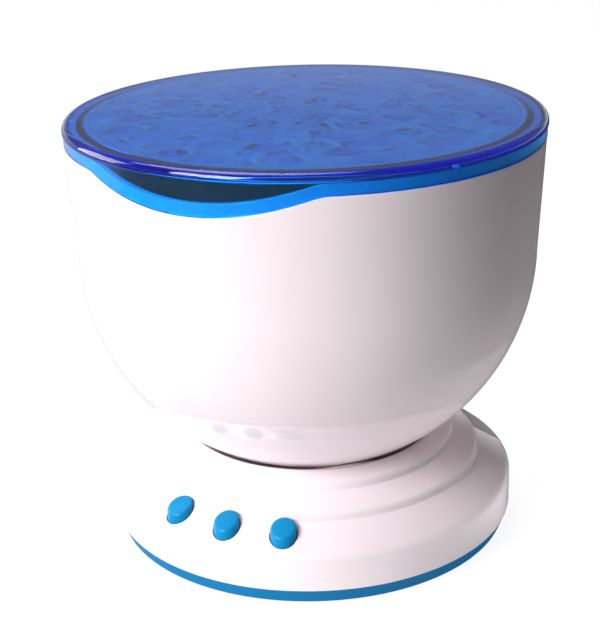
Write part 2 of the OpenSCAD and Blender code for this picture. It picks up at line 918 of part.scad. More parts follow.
module speaker() {
  color("slategray")
    translate([speaker_x, 0, floor_top])
      difference() {
        union() {
          cylinder(h = speaker_rim_t, r = speaker_r);
          cylinder(h = speaker_h - magnet_h, r1 = basket_low + speaker_rim_t,
            r2 = basket_high + basket_wall + magnet_lip);
          cylinder(h = speaker_h, r = basket_high + basket_wall);
        }
        translate([0, 0, -eps])
          cylinder(h = basket_h + eps, r1 = basket(-eps), r2 = basket_high);
      }
}

// A cone that follows the basket's inside from a height, drawn in by an inset
module speaker_taper(low, inset) {
  rise = cone_high - cone_low;
  translate([0, 0, low])
    cylinder(h = rise, r1 = basket(low) - inset, r2 = basket(low + rise) - inset);
}

module speaker_cone() {
  color("darkslategray")
    translate([speaker_x, 0, floor_top])
      difference() {
        speaker_taper(cone_low, cone_gap);
        speaker_taper(cone_low - eps, cone_gap + cone_wall);
      }
}

module seat_ring() {
  color("ivory")
    at_swivel()
      translate([0, 0, -dish_r])
        pipe(seat_r, tube_r + loose, seat_top + dish_r);
}

module swivel_tube() {
  low = pad_z - nut_h - thread_end;
  color("silver")
    at_swivel()
      translate([0, 0, low])
        pipe(tube_r, tube_r - tube_wall, nut_low + nut_h + thread_end - low);
}

module tube_nut() {
  color("goldenrod")
    at_swivel()
      translate([0, 0, pad_z - nut_h])
        hex_nut();
}

module swivel_nut() {
  color("goldenrod")
    at_swivel()
      translate([0, 0, nut_low])
        hex_nut();
}

module swivel_washer() {
  color("dimgray")
    at_swivel()
      translate([0, 0, bowl_floor_top])
        pipe(washer_r, tube_r + run_clear, washer_t);
}

// Posts inside the bowl that carry the light tray
module tray_posts() {
  at_posts()
    translate([0, 0, ball_z - ball_r])
      cylinder(h = tray_z - ball_z + ball_r, r = post_r);
}

module bowl() {
  color("whitesmoke")
    difference() {
      union() {
        difference() {
          union() {
            translate([0, 0, ball_z])
              sphere(ball_r);
            translate([0, 0, ball_z])
              cylinder(h = head_rise, r1 = ball_r, r2 = wall_top_r);
          }
          above_edge(0);
        }
        difference() {
          translate([0, 0, ball_z])
            cylinder(h = head_rise, r = rim_r);
          above_edge(rim_lap);
        }
      }
      difference() {
        union() {
          translate([0, 0, ball_z])
            sphere(cavity_r);
          translate([0, 0, ball_z])
            cylinder(h = far, r = cavity_r);
        }
        tray_posts();
        at_swivel()
          under(bowl_floor_top);
      }
      at_swivel() {
        under(head_cut);
        translate([0, 0, -ball_r])
          cylinder(h = ball_r / 2, r = tube_r + run_clear);
      }
      at_posts()
        translate([0, 0, tray_z - thread_l])
          cylinder(h = far, r = screw_r + press_gap);
      around(lug_count, rim_r, 90)
        translate([-bowl_wall - eps, -lug_w / 2 - lug_play, edge_z + lug_play])
          cube([bowl_wall + 2 * eps, lug_w + 2 * lug_play, far]);
    }
}

module lid() {
  under_z = total_h - lid_top_t;
  bead_z = total_h - bead_h;
  color("mediumblue", 0.7) {
    intersection() {
      rotate_extrude()
        polygon(rounded([[0, under_z + field_sink, 0], [0, total_h, 0], [lid_r, total_h, bead_round],
          [lid_r, bead_z, bead_foot], [skirt_r, bead_z - bead_foot, 0], [skirt_r, edge_z - dip_depth, 0],
          [skirt_in_r, edge_z - dip_depth, 0], [skirt_in_r, under_z, 0], [field_r + ring_w, under_z, 0],
          [field_r + ring_w, under_z + ring_sink, 0], [field_r, under_z + ring_sink, 0],
          [field_r, under_z + field_sink, 0]]));
      above_edge(skirt_lift + press_gap);
    }
    around(lug_count, skirt_in_r, 90)
      translate([-lug_depth, -lug_w / 2, edge_z + 2 * lug_play])
        cube([lug_depth + skirt_t / 2, lug_w, under_z - edge_z - 2 * lug_play + eps]);
  }
}

module light_tray() {
  color("gainsboro")
    difference() {
      union() {
        translate([0, 0, tray_z])
          cylinder(h = tray_t, r = tray_r);
        translate([0, 0, tray_z - spindle_drop])
          cylinder(h = spindle_drop + tray_t + stub_h, r = stub_r);
      }
      cylinder(h = far, r = spindle_r + press_gap);
      at_posts()
        cylinder(h = far, r = screw_r + loose);
      translate([gear_centre, 0, 0]) {
        cylinder(h = far, r = shaft_r + shaft_room);
        for (side = [-1, 1])
          translate([0, side * motor_screw_y, 0])
            cylinder(h = far, r = small_screw_r + press_gap);
      }
    }
}

module tray_screws() {
  color("silver")
    at_posts()
      translate([0, 0, tray_top + ring_board_t])
        mirror([0, 0, 1])
          screw(ring_board_t + tray_t + thread_l - eps);
}

module led_board() {
  color("white")
    difference() {
      translate([0, 0, tray_top])
        pipe(led_ring_r + ring_board_w / 2, led_ring_r - ring_board_w / 2, ring_board_t);
      at_posts()
        cylinder(h = far, r = screw_r + loose);
    }
}

module leds() {
  color("lightcyan")
    around(led_count, led_ring_r, 90 + 180 / led_count)
      translate([0, 0, tray_top + ring_board_t]) {
        cylinder(h = led_rim_h, r = led_r + led_rim);
        cylinder(h = led_h, r = led_r);
        translate([0, 0, led_h])
          sphere(led_r);
      }
}

module gear_motor() {
  color("silver")
    translate([gear_centre, 0, tray_z])
      difference() {
        union() {
          translate([0, 0, -motor_l])
            cylinder(h = motor_l, r = motor_r);
          translate([-motor_ear / 2, -motor_screw_y - motor_ear / 2, -ear_t])
            cube([motor_ear, 2 * motor_screw_y + motor_ear, ear_t]);
        }
        translate([0, 0, -motor_l + shaft_stop])
          cylinder(h = far, r = shaft_r + run_clear);
        for (side = [-1, 1])
          translate([0, side * motor_screw_y, -far / 2])
            cylinder(h = far, r = small_screw_r + loose);
      }
}

module motor_screws() {
  color("silver")
    for (side = [-1, 1])
      translate([gear_centre, side * motor_screw_y, tray_z - ear_t])
        small_screw(ear_t + tray_t - tip_gap);
}

module disc_spindle() {
  low = tray_z - spindle_drop;
  color("silver")
    translate([0, 0, low])
      cylinder(h = disc_z + disc_t + 2 * clip_t - low, r = spindle_r);
}

module spindle_clip() {
  color("dimgray")
    translate([0, 0, disc_z + disc_t + hub_gap])
      pipe(spindle_r + clip_w, spindle_r + press_gap, clip_t);
}

module ripple_disc() {
  hub_z = tray_top + stub_h + hub_gap;
  color("aliceblue", 0.5)
    difference() {
      union() {
        translate([0, 0, disc_z])
          cylinder(h = disc_t, r = tray_r);
        translate([0, 0, hub_z])
          cylinder(h = disc_z - hub_z + eps, r = hub_r);
      }
      cylinder(h = far, r = spindle_r + run_clear);
    }
}

module disc_gear() {
  color("ivory")
    translate([0, 0, gear_z])
      difference() {
        linear_extrude(gear_w)
          polygon(gear_points(disc_teeth));
        translate([0, 0, -eps])
          cylinder(h = gear_w + 2 * eps, r = hub_r + press_gap);
      }
}

module motor_pinion() {
  low = tray_z - motor_l + shaft_stop + hub_gap;
  color("ivory")
    translate([gear_centre, 0, 0]) {
      translate([0, 0, gear_z])
        rotate([0, 0, 180 / pinion_teeth])
          linear_extrude(gear_w)
            polygon(gear_points(pinion_teeth));
      translate([0, 0, low])
        cylinder(h = gear_z + gear_w + shaft_proud - low, r = shaft_r);
    }
}

// A push button: upright cap with a sloping top, flange under the shell and stem above its switch
module push_button(a) {
  color("deepskyblue") {
    at_button(a) {
      difference() {
        translate([0, 0, flange_low])
          cylinder(h = button_proud + button_r - flange_low, r = button_r);
        above_slope(button_proud, button_slope);
      }
      translate([0, switch_in, stem_end])
        cylinder(h = flange_low - stem_end + eps, r = stem_r);
    }
    intersection() {
      at_button(a)
        translate([0, 0, flange_low])
          cylinder(h = -flange_low, r = flange_r);
      base_form(shell_t + flange_gap);
    }
  }
}

module button_left() {
  push_button(-button_step);
}

module button_centre() {
  push_button(0);
}

module button_right() {
  push_button(button_step);
}

module battery_door() {
  color("dodgerblue")
    difference() {
      union() {
        translate([0, 0, foot_proud])
          linear_extrude(door_t)
            door_outline(door_gap, hinge_gap);
        at_barrels()
          rotate([0, 90, 0])
            cylinder(h = barrel_w, r = barrel_r, center = true);
        at_barrels()
          translate([-barrel_w / 2, open_y1 - hinge_y - web_lap, -web_low])
            cube([barrel_w, hinge_y - open_y1 + web_lap, web_h]);
      }
      at_barrels()
        rotate([0, 90, 0])
          cylinder(h = barrel_w + 2 * eps, r = hinge_r + run_clear, center = true);
      translate([0, door_screw_y, foot_proud - eps]) {
        cylinder(h = door_screw_head_h + eps, r = door_screw_head_r + loose);
        cylinder(h = far, r = door_screw_r + press_gap);
      }
    }
}

module door_screw() {
  color("silver")
    translate([0, door_screw_y, foot_proud + door_screw_head_h])
      screw(door_screw_l, shank = door_screw_r, head = door_screw_head_r, head_h = door_screw_head_h);
}

base_shell();
bottom_cover();
rubber_feet();
case_screws();
battery_cells();
contact_springs();
contact_plates();
switch_board();
tact_switches();
board_screws();
control_board();
dc_jack();
audio_jack();
speaker();
speaker_cone();
seat_ring();
swivel_tube();
tube_nut();
swivel_nut();
bowl();
lid();
swivel_washer();
light_tray();
tray_screws();
led_board();
leds();
gear_motor();
motor_screws();
disc_spindle();
spindle_clip();
ripple_disc();
disc_gear();
motor_pinion();
button_left();
button_centre();
button_right();
battery_door();
door_screw();
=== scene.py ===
# %% [markdown]
# ## A water ripple lamp
# The lamp is a white, ball-shaped head under a blue see-through lid, on a stepped base.
# Its solids come packed as a fixed frame, which is never moved. Each new piece takes its place
# from the frame's boxes and joints, so nothing has to be fitted by eye.

# %% Load the frame
import json
from math import asin, ceil, cos, degrees, hypot, pi, radians, sin, sqrt, tan

import bpy
from mathutils import Matrix, Vector


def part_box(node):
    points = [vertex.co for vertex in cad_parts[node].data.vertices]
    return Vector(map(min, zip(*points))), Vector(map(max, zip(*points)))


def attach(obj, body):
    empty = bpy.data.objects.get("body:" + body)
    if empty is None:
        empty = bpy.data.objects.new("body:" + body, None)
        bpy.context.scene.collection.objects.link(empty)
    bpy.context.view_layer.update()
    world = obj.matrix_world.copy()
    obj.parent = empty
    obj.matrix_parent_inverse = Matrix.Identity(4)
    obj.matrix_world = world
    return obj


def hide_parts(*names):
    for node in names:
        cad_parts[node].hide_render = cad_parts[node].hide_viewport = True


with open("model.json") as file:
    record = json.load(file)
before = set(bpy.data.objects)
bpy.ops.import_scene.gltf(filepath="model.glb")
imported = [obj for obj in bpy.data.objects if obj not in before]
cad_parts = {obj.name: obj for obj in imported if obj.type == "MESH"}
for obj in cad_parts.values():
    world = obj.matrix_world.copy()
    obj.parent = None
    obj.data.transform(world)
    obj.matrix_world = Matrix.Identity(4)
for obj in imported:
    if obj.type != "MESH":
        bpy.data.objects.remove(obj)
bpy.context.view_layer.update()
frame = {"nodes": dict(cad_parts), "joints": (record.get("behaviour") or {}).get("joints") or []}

MM = 0.001

# %% [markdown]
# ## Sizes from the frame
# Sizes are kept in millimetres and turned to metres where a point is made. The lid's top and
# width, the base's width and the middle of the ball are read from the frame, because a number
# that is read can't drift away from the solids. The few sizes that a box can't give are named here.

# %% Read the frame's sizes
LID_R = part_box("lid")[1].x / MM
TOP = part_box("lid")[1].z / MM
BASE_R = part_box("base_shell")[1].x / MM
BASE_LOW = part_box("base_shell")[0].z / MM
COLLAR_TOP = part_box("base_shell")[1].z / MM
joints = {joint["name"]: joint for joint in frame["joints"]}
SWIVEL = Vector(joints["head_swivel"]["axis"]).normalized()
BALL_Z = joints["head_swivel"]["pos_m"][2] / MM
BALL_R = 64.3
LID_H = 5.7
EDGE = TOP - LID_H
print(f"lid {2 * LID_R:.1f} mm across, with its top at {TOP:.1f} mm")
print(f"base {2 * BASE_R:.1f} mm across, and the ball's middle at {BALL_Z:.1f} mm")

# %% [markdown]
# ## One function for colour and one for nodes
# A colour is picked on a screen, so it is an sRGB value, while a shader reckons in linear light.
# One function turns a hex colour to linear. Another adds a node, sets it up and links it, so that
# each material below reads as a short list of nodes.

# %% Colour and node helpers
# A Mix node has sockets for every kind of value. These are its two colours and the mixed one.
MIX_A, MIX_B, MIXED = 6, 7, 2


def linear(code):
    """The linear colour of an sRGB hex code."""
    parts = [int(code[i:i + 2], 16) / 255 for i in (1, 3, 5)]
    return [c / 12.92 if c <= 0.04045 else ((c + 0.055) / 1.055) ** 2.4 for c in parts] + [1]


def add(tree, kind, links=None, values=None, **settings):
    """Adds a node; links and values name its inputs, and settings are the node's own."""
    node = tree.nodes.new(kind)
    for name, value in settings.items():
        setattr(node, name, value)
    for name, value in (values or {}).items():
        node.inputs[name].default_value = value
    for name, socket in (links or {}).items():
        tree.links.new(socket, node.inputs[name])
    return node


def grain(size):
    """The scale that gives a pattern this size in millimetres."""
    return 1 / (size * MM)


def new_material(name):
    """An empty material with its Principled shader, its output and Object coordinates."""
    material = bpy.data.materials.new(name)
    material.use_nodes = True
    tree = material.node_tree
    tree.nodes.clear()
    shader = add(tree, "ShaderNodeBsdfPrincipled")
    add(tree, "ShaderNodeOutputMaterial", {"Surface": shader.outputs["BSDF"]})
    place = add(tree, "ShaderNodeTexCoord").outputs["Object"]
    return material, tree, shader, place


print("helpers ready:", ", ".join(f.__name__ for f in (linear, add, grain, new_material)))

# %% [markdown]
# ## Moulded plastics
# The housing is ABS out of a polished mould: glossy, with a faint orange-peel waviness that
# breaks up reflections, and a colour that drifts by a percent or so. The same recipe with other
# colours and roughness gives the satin buttons, the pan, the tray and the black sockets, so it is
# one function. A single flat colour would look like paint on glass.

# %% Moulded plastic
ABS_IOR = 1.53
DRIFT_SIZE, WEAR_SIZE, PEEL_SIZE = 38, 9, 1.6
PEEL_DEPTH = 0.05
# Most of a noise texture's values lie between these two.
NOISE_SPAN = (0.3, 0.7)
# The best and the worst polish, as shares of the roughness.
POLISH = (0.85, 1.2)


def moulded(name, light, dark, rough, wave=0.04, gloss=0.5):
    """ABS as it leaves the mould: colour drift, uneven gloss and orange peel."""
    material, tree, shader, place = new_material(name)
    drift = add(tree, "ShaderNodeTexNoise", {"Vector": place},
                {"Scale": grain(DRIFT_SIZE), "Detail": 3})
    share = add(tree, "ShaderNodeMapRange", {"Value": drift.outputs["Fac"]},
                {"From Min": NOISE_SPAN[0], "From Max": NOISE_SPAN[1]})
    tint = add(tree, "ShaderNodeMix", {0: share.outputs["Result"]},
               {MIX_A: linear(dark), MIX_B: linear(light)}, data_type="RGBA")
    tree.links.new(tint.outputs[MIXED], shader.inputs["Base Color"])
    wear = add(tree, "ShaderNodeTexNoise", {"Vector": place},
               {"Scale": grain(WEAR_SIZE), "Detail": 4})
    uneven = add(tree, "ShaderNodeMapRange", {"Value": wear.outputs["Fac"]},
                 {"To Min": rough * POLISH[0], "To Max": rough * POLISH[1]})
    tree.links.new(uneven.outputs["Result"], shader.inputs["Roughness"])
    skin = add(tree, "ShaderNodeTexNoise", {"Vector": place},
               {"Scale": grain(PEEL_SIZE), "Detail": 2})
    bump = add(tree, "ShaderNodeBump", {"Height": skin.outputs["Fac"]},
               {"Strength": wave, "Distance": PEEL_DEPTH * MM})
    tree.links.new(bump.outputs["Normal"], shader.inputs["Normal"])
    shader.inputs["IOR"].default_value = ABS_IOR
    shader.inputs["Specular IOR Level"].default_value = gloss
    return material


# White ABS from a polished mould: a clean white that mirrors the base and the buttons in the ball.
WHITE_ABS = moulded("white_abs_gloss", "#F4E8ED", "#F1E4E9", 0.035, wave=0.012)
# Satin blue ABS: a soft sheen that keeps its colour, without a mirror image.
BUTTON_ABS = moulded("sky_blue_abs_satin", "#0486BE", "#037FB6", 0.32, gloss=0.14)
# The pan is a slightly deeper blue, and reads as one dull ring round the foot.
PAN_ABS = moulded("ring_blue_abs_satin", "#087CB6", "#0675AD", 0.34, gloss=0.2)
# Undyed ABS, a little yellow: it glows softly behind the lid.
TRAY_ABS = moulded("natural_abs_tray", "#E9E7E0", "#E4E1D8", 0.4)
# Black ABS: sockets that read as holes with a grey sheen on their lips.
BLACK_ABS = moulded("black_abs_sockets", "#1B1B1C", "#151516", 0.42)
# Acetal: creamy and waxy, as gears are.
ACETAL = moulded("acetal_gears", "#ECE8DA", "#E5E0D0", 0.38)
plastics = (WHITE_ABS, BUTTON_ABS, PAN_ABS, TRAY_ABS, BLACK_ABS, ACETAL)
print("moulded plastics:", ", ".join(m.name for m in plastics))

# %% [markdown]
# ## The lid's blue acrylic
# The lid is clear acrylic with blue dye in it. Dye takes light away along the path through the
# plastic, so the thin skirt in front of the white rim is bright blue and the thick rim is nearly
# black. That can't be painted: the shader lets light through, and an absorption volume inside
# does the colouring. Shadow rays pass straight through, so lamps reach what lies behind the skirt.
# The rippled field underneath is frosted by its mould, and scatters light back up through the dye.
# The frost is made thinner where the ripples are steep, so that their sides show as dark streaks.
# These streaks are painted shade: they stand in for the dark that light bent at steep ripples shows.

# %% Blue acrylic
DYE, DYE_DENSITY = "#00EEFC", 1900
ACRYLIC_IOR = 1.49
FLOW_SIZE = 12
# The lowest and highest roughness of clear acrylic, and what full frost adds to each.
CLEAR_ROUGH, FROST_ROUGH = (0.02, 0.06), (0.2, 0.3)
# How upright a face's normal is where the painted dark streaks are darkest and where they end.
PAINTED_STREAK_Z, STREAK_END_Z = 0.955, 0.998
# The frost left in the painted dark streaks, on the steepest ripple sides.
STREAK_FROST = 0.05


def let_through(tree, surface, tint):
    """Lets a lamp's light through a clear surface with a tint, because a shadow ray can't bend."""
    open_way = add(tree, "ShaderNodeBsdfTransparent", values={"Color": linear(tint)})
    path = add(tree, "ShaderNodeLightPath")
    mixed = add(tree, "ShaderNodeMixShader",
                {0: path.outputs["Is Shadow Ray"], 1: surface, 2: open_way.outputs["BSDF"]})
    output = next(n for n in tree.nodes if n.type == "OUTPUT_MATERIAL")
    tree.links.new(mixed.outputs["Shader"], output.inputs["Surface"])
    return output


def dyed_acrylic(name, through, frost=0):
    """Moulded acrylic with an absorbing dye; frost is the most that its surface scatters."""
    material, tree, shader, place = new_material(name)
    shader.inputs["Base Color"].default_value = linear("#FFFFFF")
    shader.inputs["Transmission Weight"].default_value = 1.0
    shader.inputs["IOR"].default_value = ACRYLIC_IOR
    flow = add(tree, "ShaderNodeTexNoise", {"Vector": place}, {"Scale": grain(FLOW_SIZE), "Detail": 3})
    uneven = add(tree, "ShaderNodeMapRange", {"Value": flow.outputs["Fac"]},
                 {"To Min": CLEAR_ROUGH[0] + frost * FROST_ROUGH[0],
                  "To Max": CLEAR_ROUGH[1] + frost * FROST_ROUGH[1]})
    tree.links.new(uneven.outputs["Result"], shader.inputs["Roughness"])
    surface = shader.outputs["BSDF"]
    if frost:
        # Steep faces get less frost and show the dark inside: painted dark streaks on the ripples.
        normal = add(tree, "ShaderNodeNewGeometry").outputs["Normal"]
        upright = add(tree, "ShaderNodeSeparateXYZ", {0: normal}).outputs["Z"]
        level = add(tree, "ShaderNodeMath", {0: upright}, operation="ABSOLUTE")
        share = add(tree, "ShaderNodeMapRange", {"Value": level.outputs[0]},
                    {"From Min": PAINTED_STREAK_Z, "From Max": STREAK_END_Z,
                     "To Min": STREAK_FROST, "To Max": frost})
        white = add(tree, "ShaderNodeBsdfDiffuse", values={"Color": linear("#F2F2F2")})
        frosted = add(tree, "ShaderNodeMixShader",
                      {0: share.outputs["Result"], 1: surface, 2: white.outputs["BSDF"]})
        surface = frosted.outputs["Shader"]
    output = let_through(tree, surface, through)
    volume = add(tree, "ShaderNodeVolumeAbsorption",
                 values={"Color": linear(DYE), "Density": DYE_DENSITY})
    tree.links.new(volume.outputs["Volume"], output.inputs["Volume"])
    return material


# Polished acrylic: a mirror sheen on top, and blue that deepens with the thickness behind it.
LID_ACRYLIC = dyed_acrylic("deep_blue_acrylic", "#A0AAD4")
# The frosted underside: a cloudy mid blue with painted dark streaks on the steep ripples, through which
# shapes are only guessed.
FROSTED_STREAKED_ACRYLIC = dyed_acrylic("deep_blue_acrylic_frosted_painted_streaks", "#1E50F8", 0.52)
print("lid:", LID_ACRYLIC.name, "and", FROSTED_STREAKED_ACRYLIC.name)

# %% [markdown]
# ## Outlines
# Nearly every piece of this lamp is round, so all that has to be drawn is half of its outline, as
# points of radius and height. Sharp corners would look like card, because a real moulded edge is
# rounded and catches the light. One function rounds the corners of an outline, and another gives
# points along the ball, so that every outline below is a short list.

# %% Outline helpers
def rounded(points, steps=6):
    """An outline of (radius, height, bend) points in millimetres, with its corners rounded."""
    made = []
    for i, (r, z, bend) in enumerate(points):
        corner = Vector((r, z))
        if not bend:
            made.append(corner)
            continue
        back = (Vector(points[i - 1][:2]) - corner).normalized()
        on = (Vector(points[(i + 1) % len(points)][:2]) - corner).normalized()
        half = back.angle(on) / 2
        centre = corner + (back + on).normalized() * (bend / sin(half))
        start = corner + back * (bend / tan(half)) - centre
        end = corner + on * (bend / tan(half)) - centre
        # slerp gives directions of length 1, so they are multiplied by the radius.
        made += [centre + start.slerp(end, k / steps) * bend for k in range(steps + 1)]
    return made


def arc(radius, start, end, steps):
    """Points on the lower half of a ball round the ball's middle, by angle from straight down."""
    turns = [radians(start + (end - start) * k / steps) for k in range(steps + 1)]
    return [Vector((radius * sin(a), BALL_Z - radius * cos(a))) for a in turns]


print("a ball of", BALL_R, "mm radius starts at", round(arc(BALL_R, 0, 90, 1)[0].y, 1), "mm")

# %% [markdown]
# ## Turning
# A piece is turned as on a lathe: one vertex is extruded from point to point of the outline, and
# the line is spun round the lamp's axis. A stack of cylinders would be quicker, but it can't hold
# the rounded edges. Spinning a full circle leaves a seam, so its doubles are merged and the normals
# are made to point outwards.

# %% Turning helpers
WELD = 0.01 * MM
FINE = 288


def only(piece):
    """Makes a piece the only selected object, and the active one."""
    bpy.ops.object.select_all(action="DESELECT")
    piece.select_set(True)
    bpy.context.view_layer.objects.active = piece


def turned(name, outline, steps=FINE):
    """Extrudes a vertex along an outline and spins the line round the vertical axis."""
    bpy.ops.object.select_all(action="DESELECT")
    bpy.ops.mesh.primitive_plane_add(size=MM)
    piece = bpy.context.object
    piece.name = piece.data.name = name
    bpy.ops.object.mode_set(mode="EDIT")
    bpy.ops.mesh.select_all(action="SELECT")
    bpy.ops.mesh.merge(type="CENTER")
    bpy.ops.transform.translate(value=(outline[0].x * MM, 0, outline[0].y * MM))
    for here, there in zip(outline, outline[1:]):
        step = (there - here) * MM
        bpy.ops.mesh.extrude_region_move(TRANSFORM_OT_translate={"value": (step.x, 0, step.y)})
    bpy.ops.mesh.select_all(action="SELECT")
    bpy.ops.mesh.spin(steps=steps, angle=2 * pi, center=(0, 0, 0), axis=(0, 0, 1))
    bpy.ops.mesh.select_all(action="SELECT")
    bpy.ops.mesh.remove_doubles(threshold=WELD)
    bpy.ops.mesh.normals_make_consistent(inside=False)
    bpy.ops.object.mode_set(mode="OBJECT")
    return piece


print("turning with", FINE, "steps")

# %% [markdown]
# ## Joining, placing and finishing
# Holes, slots and lugs are tool objects that a Boolean modifier takes away or adds. Each piece ends
# with its place in its mesh and its object at the origin, as the frame's nodes do. Smooth shading
# stops at sharp edges, and normals weighted by area keep flats flat up to their rounded edges.

# %% Joining and finishing helpers
def combine(piece, tool, operation):
    """Applies a Boolean modifier with a tool object, and removes the tool."""
    only(piece)
    bpy.ops.object.modifier_add(type="BOOLEAN")
    modifier = piece.modifiers[-1]
    modifier.operation = operation
    modifier.solver = "EXACT"
    modifier.object = tool
    bpy.ops.object.modifier_apply(modifier=modifier.name)
    bpy.data.objects.remove(tool)


def settle(piece, matrix):
    """Puts a piece in its place and leaves its object at the origin."""
    only(piece)
    piece.matrix_world = matrix
    bpy.ops.object.transform_apply(location=True, rotation=True, scale=True)


def finish(piece, material, smooth=32):
    """Smooths a piece where its faces meet at less than an angle, and gives it its material."""
    only(piece)
    bpy.ops.object.shade_smooth_by_angle(angle=radians(smooth))
    bpy.ops.object.modifier_add(type="WEIGHTED_NORMAL")
    piece.modifiers[-1].keep_sharp = True
    bpy.ops.object.modifier_apply(modifier=piece.modifiers[-1].name)
    piece.data.materials.clear()
    piece.data.materials.append(material)
    print(piece.name, "has", len(piece.data.polygons), "faces in", material.name)


print("helpers ready:", ", ".join(f.__name__ for f in (combine, settle, finish)))

# %% [markdown]
# ## The dip at the front
# The lid's lower edge hangs down in a shallow arc at the front, and the bowl's rim follows it.
# Cutting an arc with a Boolean would leave slivers on a glossy wall. Instead the rows of vertices
# near the edge are weighted by how far the arc hangs there, and a Displace modifier lowers them,
# so the mesh stays in clean columns.

# %% Dip helpers
DIP_R = 88
DIP_DEPTH = 6.1
DIP_SOFT = 0.4


def dip(x, y):
    """How far the edge hangs below its level part, in millimetres."""
    if y > 0:
        return 0
    sag = DIP_DEPTH - DIP_R + sqrt(DIP_R ** 2 - x ** 2)
    return (sag + sqrt(sag ** 2 + DIP_SOFT ** 2)) / 2


def displace(piece, group, strength, texture=None, mid=0.0):
    """Applies a Displace modifier that lifts a vertex group; strength is in millimetres."""
    only(piece)
    bpy.ops.object.modifier_add(type="DISPLACE")
    modifier = piece.modifiers[-1]
    modifier.direction = "Z"
    modifier.strength = strength * MM
    modifier.mid_level = mid
    modifier.vertex_group = group
    modifier.texture = texture
    bpy.ops.object.modifier_apply(modifier=modifier.name)


def weigh(piece, group, share):
    """Makes a vertex group from a share that depends on a vertex's place in millimetres."""
    made = piece.vertex_groups.new(name=group)
    for vertex in piece.data.vertices:
        x, y, z = vertex.co / MM
        weight = share(x, y, z)
        if weight > 0:
            made.add([vertex.index], min(1, weight), "REPLACE")


def between(value, low, high):
    """0 at low, 1 at high, and straight between them."""
    return min(1, max(0, (value - low) / (high - low)))


print(f"the dip reaches {DIP_DEPTH} mm down")

# %% [markdown]
# ## The lid
# The lid is a flat, polished plate with a rounded rim that overhangs and a skirt. Its pattern is
# moulded into the underside: a rippled field and a narrow groove round it. The outline has many
# rings under the field, so that the ripples can be real relief: light bends at them on its way out
# of the lamp, which a bump map on the top would turn into highlights instead.

# %% Lid outline and dip
FIELD_R = LID_R - 7.8
FIELD_SINK = 0.6
RING_W, RING_SINK, RING_SIDE = 2.2, 0.7, 0.3
SKIRT_R = LID_R - 0.3
SKIRT_IN = SKIRT_R - 1.6
BEAD_H, NECK_H = 2.2, 0.3
UNDER = TOP - 2.4
RIPPLE_STEP = 1.15
RIM_ROUND, BEAD_ROUND, NECK_ROUND = 1.8, 0.2, 0.1
EDGE_ROUND, CORNER_ROUND, RING_ROUND = 0.3, 0.5, 0.15
SKIRT_SLACK, EDGE_BAND = 0.1, 0.4

rings = ceil(FIELD_R / RIPPLE_STEP)
edge = rounded([
    (0, TOP, 0),
    (LID_R, TOP, RIM_ROUND),
    (LID_R, TOP - BEAD_H, BEAD_ROUND),
    (SKIRT_R, TOP - BEAD_H - NECK_H, NECK_ROUND),
    (SKIRT_R, EDGE, EDGE_ROUND),
    (SKIRT_IN, EDGE, EDGE_ROUND),
    (SKIRT_IN, UNDER, CORNER_ROUND),
    (FIELD_R + RING_W, UNDER, RING_ROUND),
    (FIELD_R + RING_W - RING_SIDE, UNDER + RING_SINK, RING_ROUND),
    (FIELD_R + RING_SIDE, UNDER + RING_SINK, RING_ROUND),
    (FIELD_R, UNDER + FIELD_SINK, 0)])
field = [Vector((FIELD_R * k / rings, UNDER + FIELD_SINK)) for k in range(rings - 1, -1, -1)]
lid_cover = turned("lid_cover", edge + field)


def skirt_share(x, y, z):
    """How much of the dip a vertex takes: none at the skirt's top, and all near its edge."""
    on_skirt = hypot(x, y) > SKIRT_IN - SKIRT_SLACK
    skirt_top = TOP - BEAD_H - 2 * NECK_H
    return on_skirt * between(z, skirt_top, EDGE + EDGE_BAND) * dip(x, y) / DIP_DEPTH


weigh(lid_cover, "dip", skirt_share)
displace(lid_cover, "dip", -DIP_DEPTH)
print("lid outline:", len(edge + field), "points, of which", rings, "in the field")

# %% [markdown]
# ## Ripples
# The ripples look like choppy water: waves about a centimetre long, with smaller ones on them.
# A Displace modifier with a cloud texture lifts and lowers the field for each length of wave, which
# is quicker than modelling and never repeats. The waves fade out just before the ring.

# %% Ripples
# The length and the height of each kind of wave.
WAVES = [(8.5, 2.0), (4.2, 0.75)]
UNDERSIDE = UNDER + 1
CALM_R = FIELD_R - 0.4
CHOPPY_R = FIELD_R - 2.4


def field_share(x, y, z):
    """1 under the rippled field, falling to 0 just inside the ring, and 0 on the polished top."""
    return between(hypot(x, y), CALM_R, CHOPPY_R) * (z < UNDERSIDE)


weigh(lid_cover, "field", field_share)
for number, (length, height) in enumerate(WAVES):
    water = bpy.data.textures.new(f"ripple_{number}", "CLOUDS")
    water.noise_scale = length * MM
    water.noise_depth = 1
    water.noise_basis = "IMPROVED_PERLIN"
    displace(lid_cover, "field", height, texture=water, mid=0.5)
    print(f"waves {length} mm long and up to {height} mm high")

# %% [markdown]
# ## Lugs and the lid's finish
# Three lugs inside the skirt key the lid to the bowl, and show through the blue as thin upright
# lines. Each is a bevelled block that is joined to the lid, because loose blocks inside clear
# plastic would show their hidden faces. The underside then takes the frosted finish by its place.

# %% Lugs and finish
LUG_DEEP, LUG_WIDE = 2.4, 2.0
LUG_IN = 0.4
LUG_BEVEL = 0.2
LUG_LOW = EDGE + 1.2
LUG_H = UNDER + 0.5 - LUG_LOW
LUG_TURNS = (90, 210, 330)
LID_SMOOTH = 40
FROST_LOW, FROST_HIGH = UNDER - 0.5, UNDER + 1.5

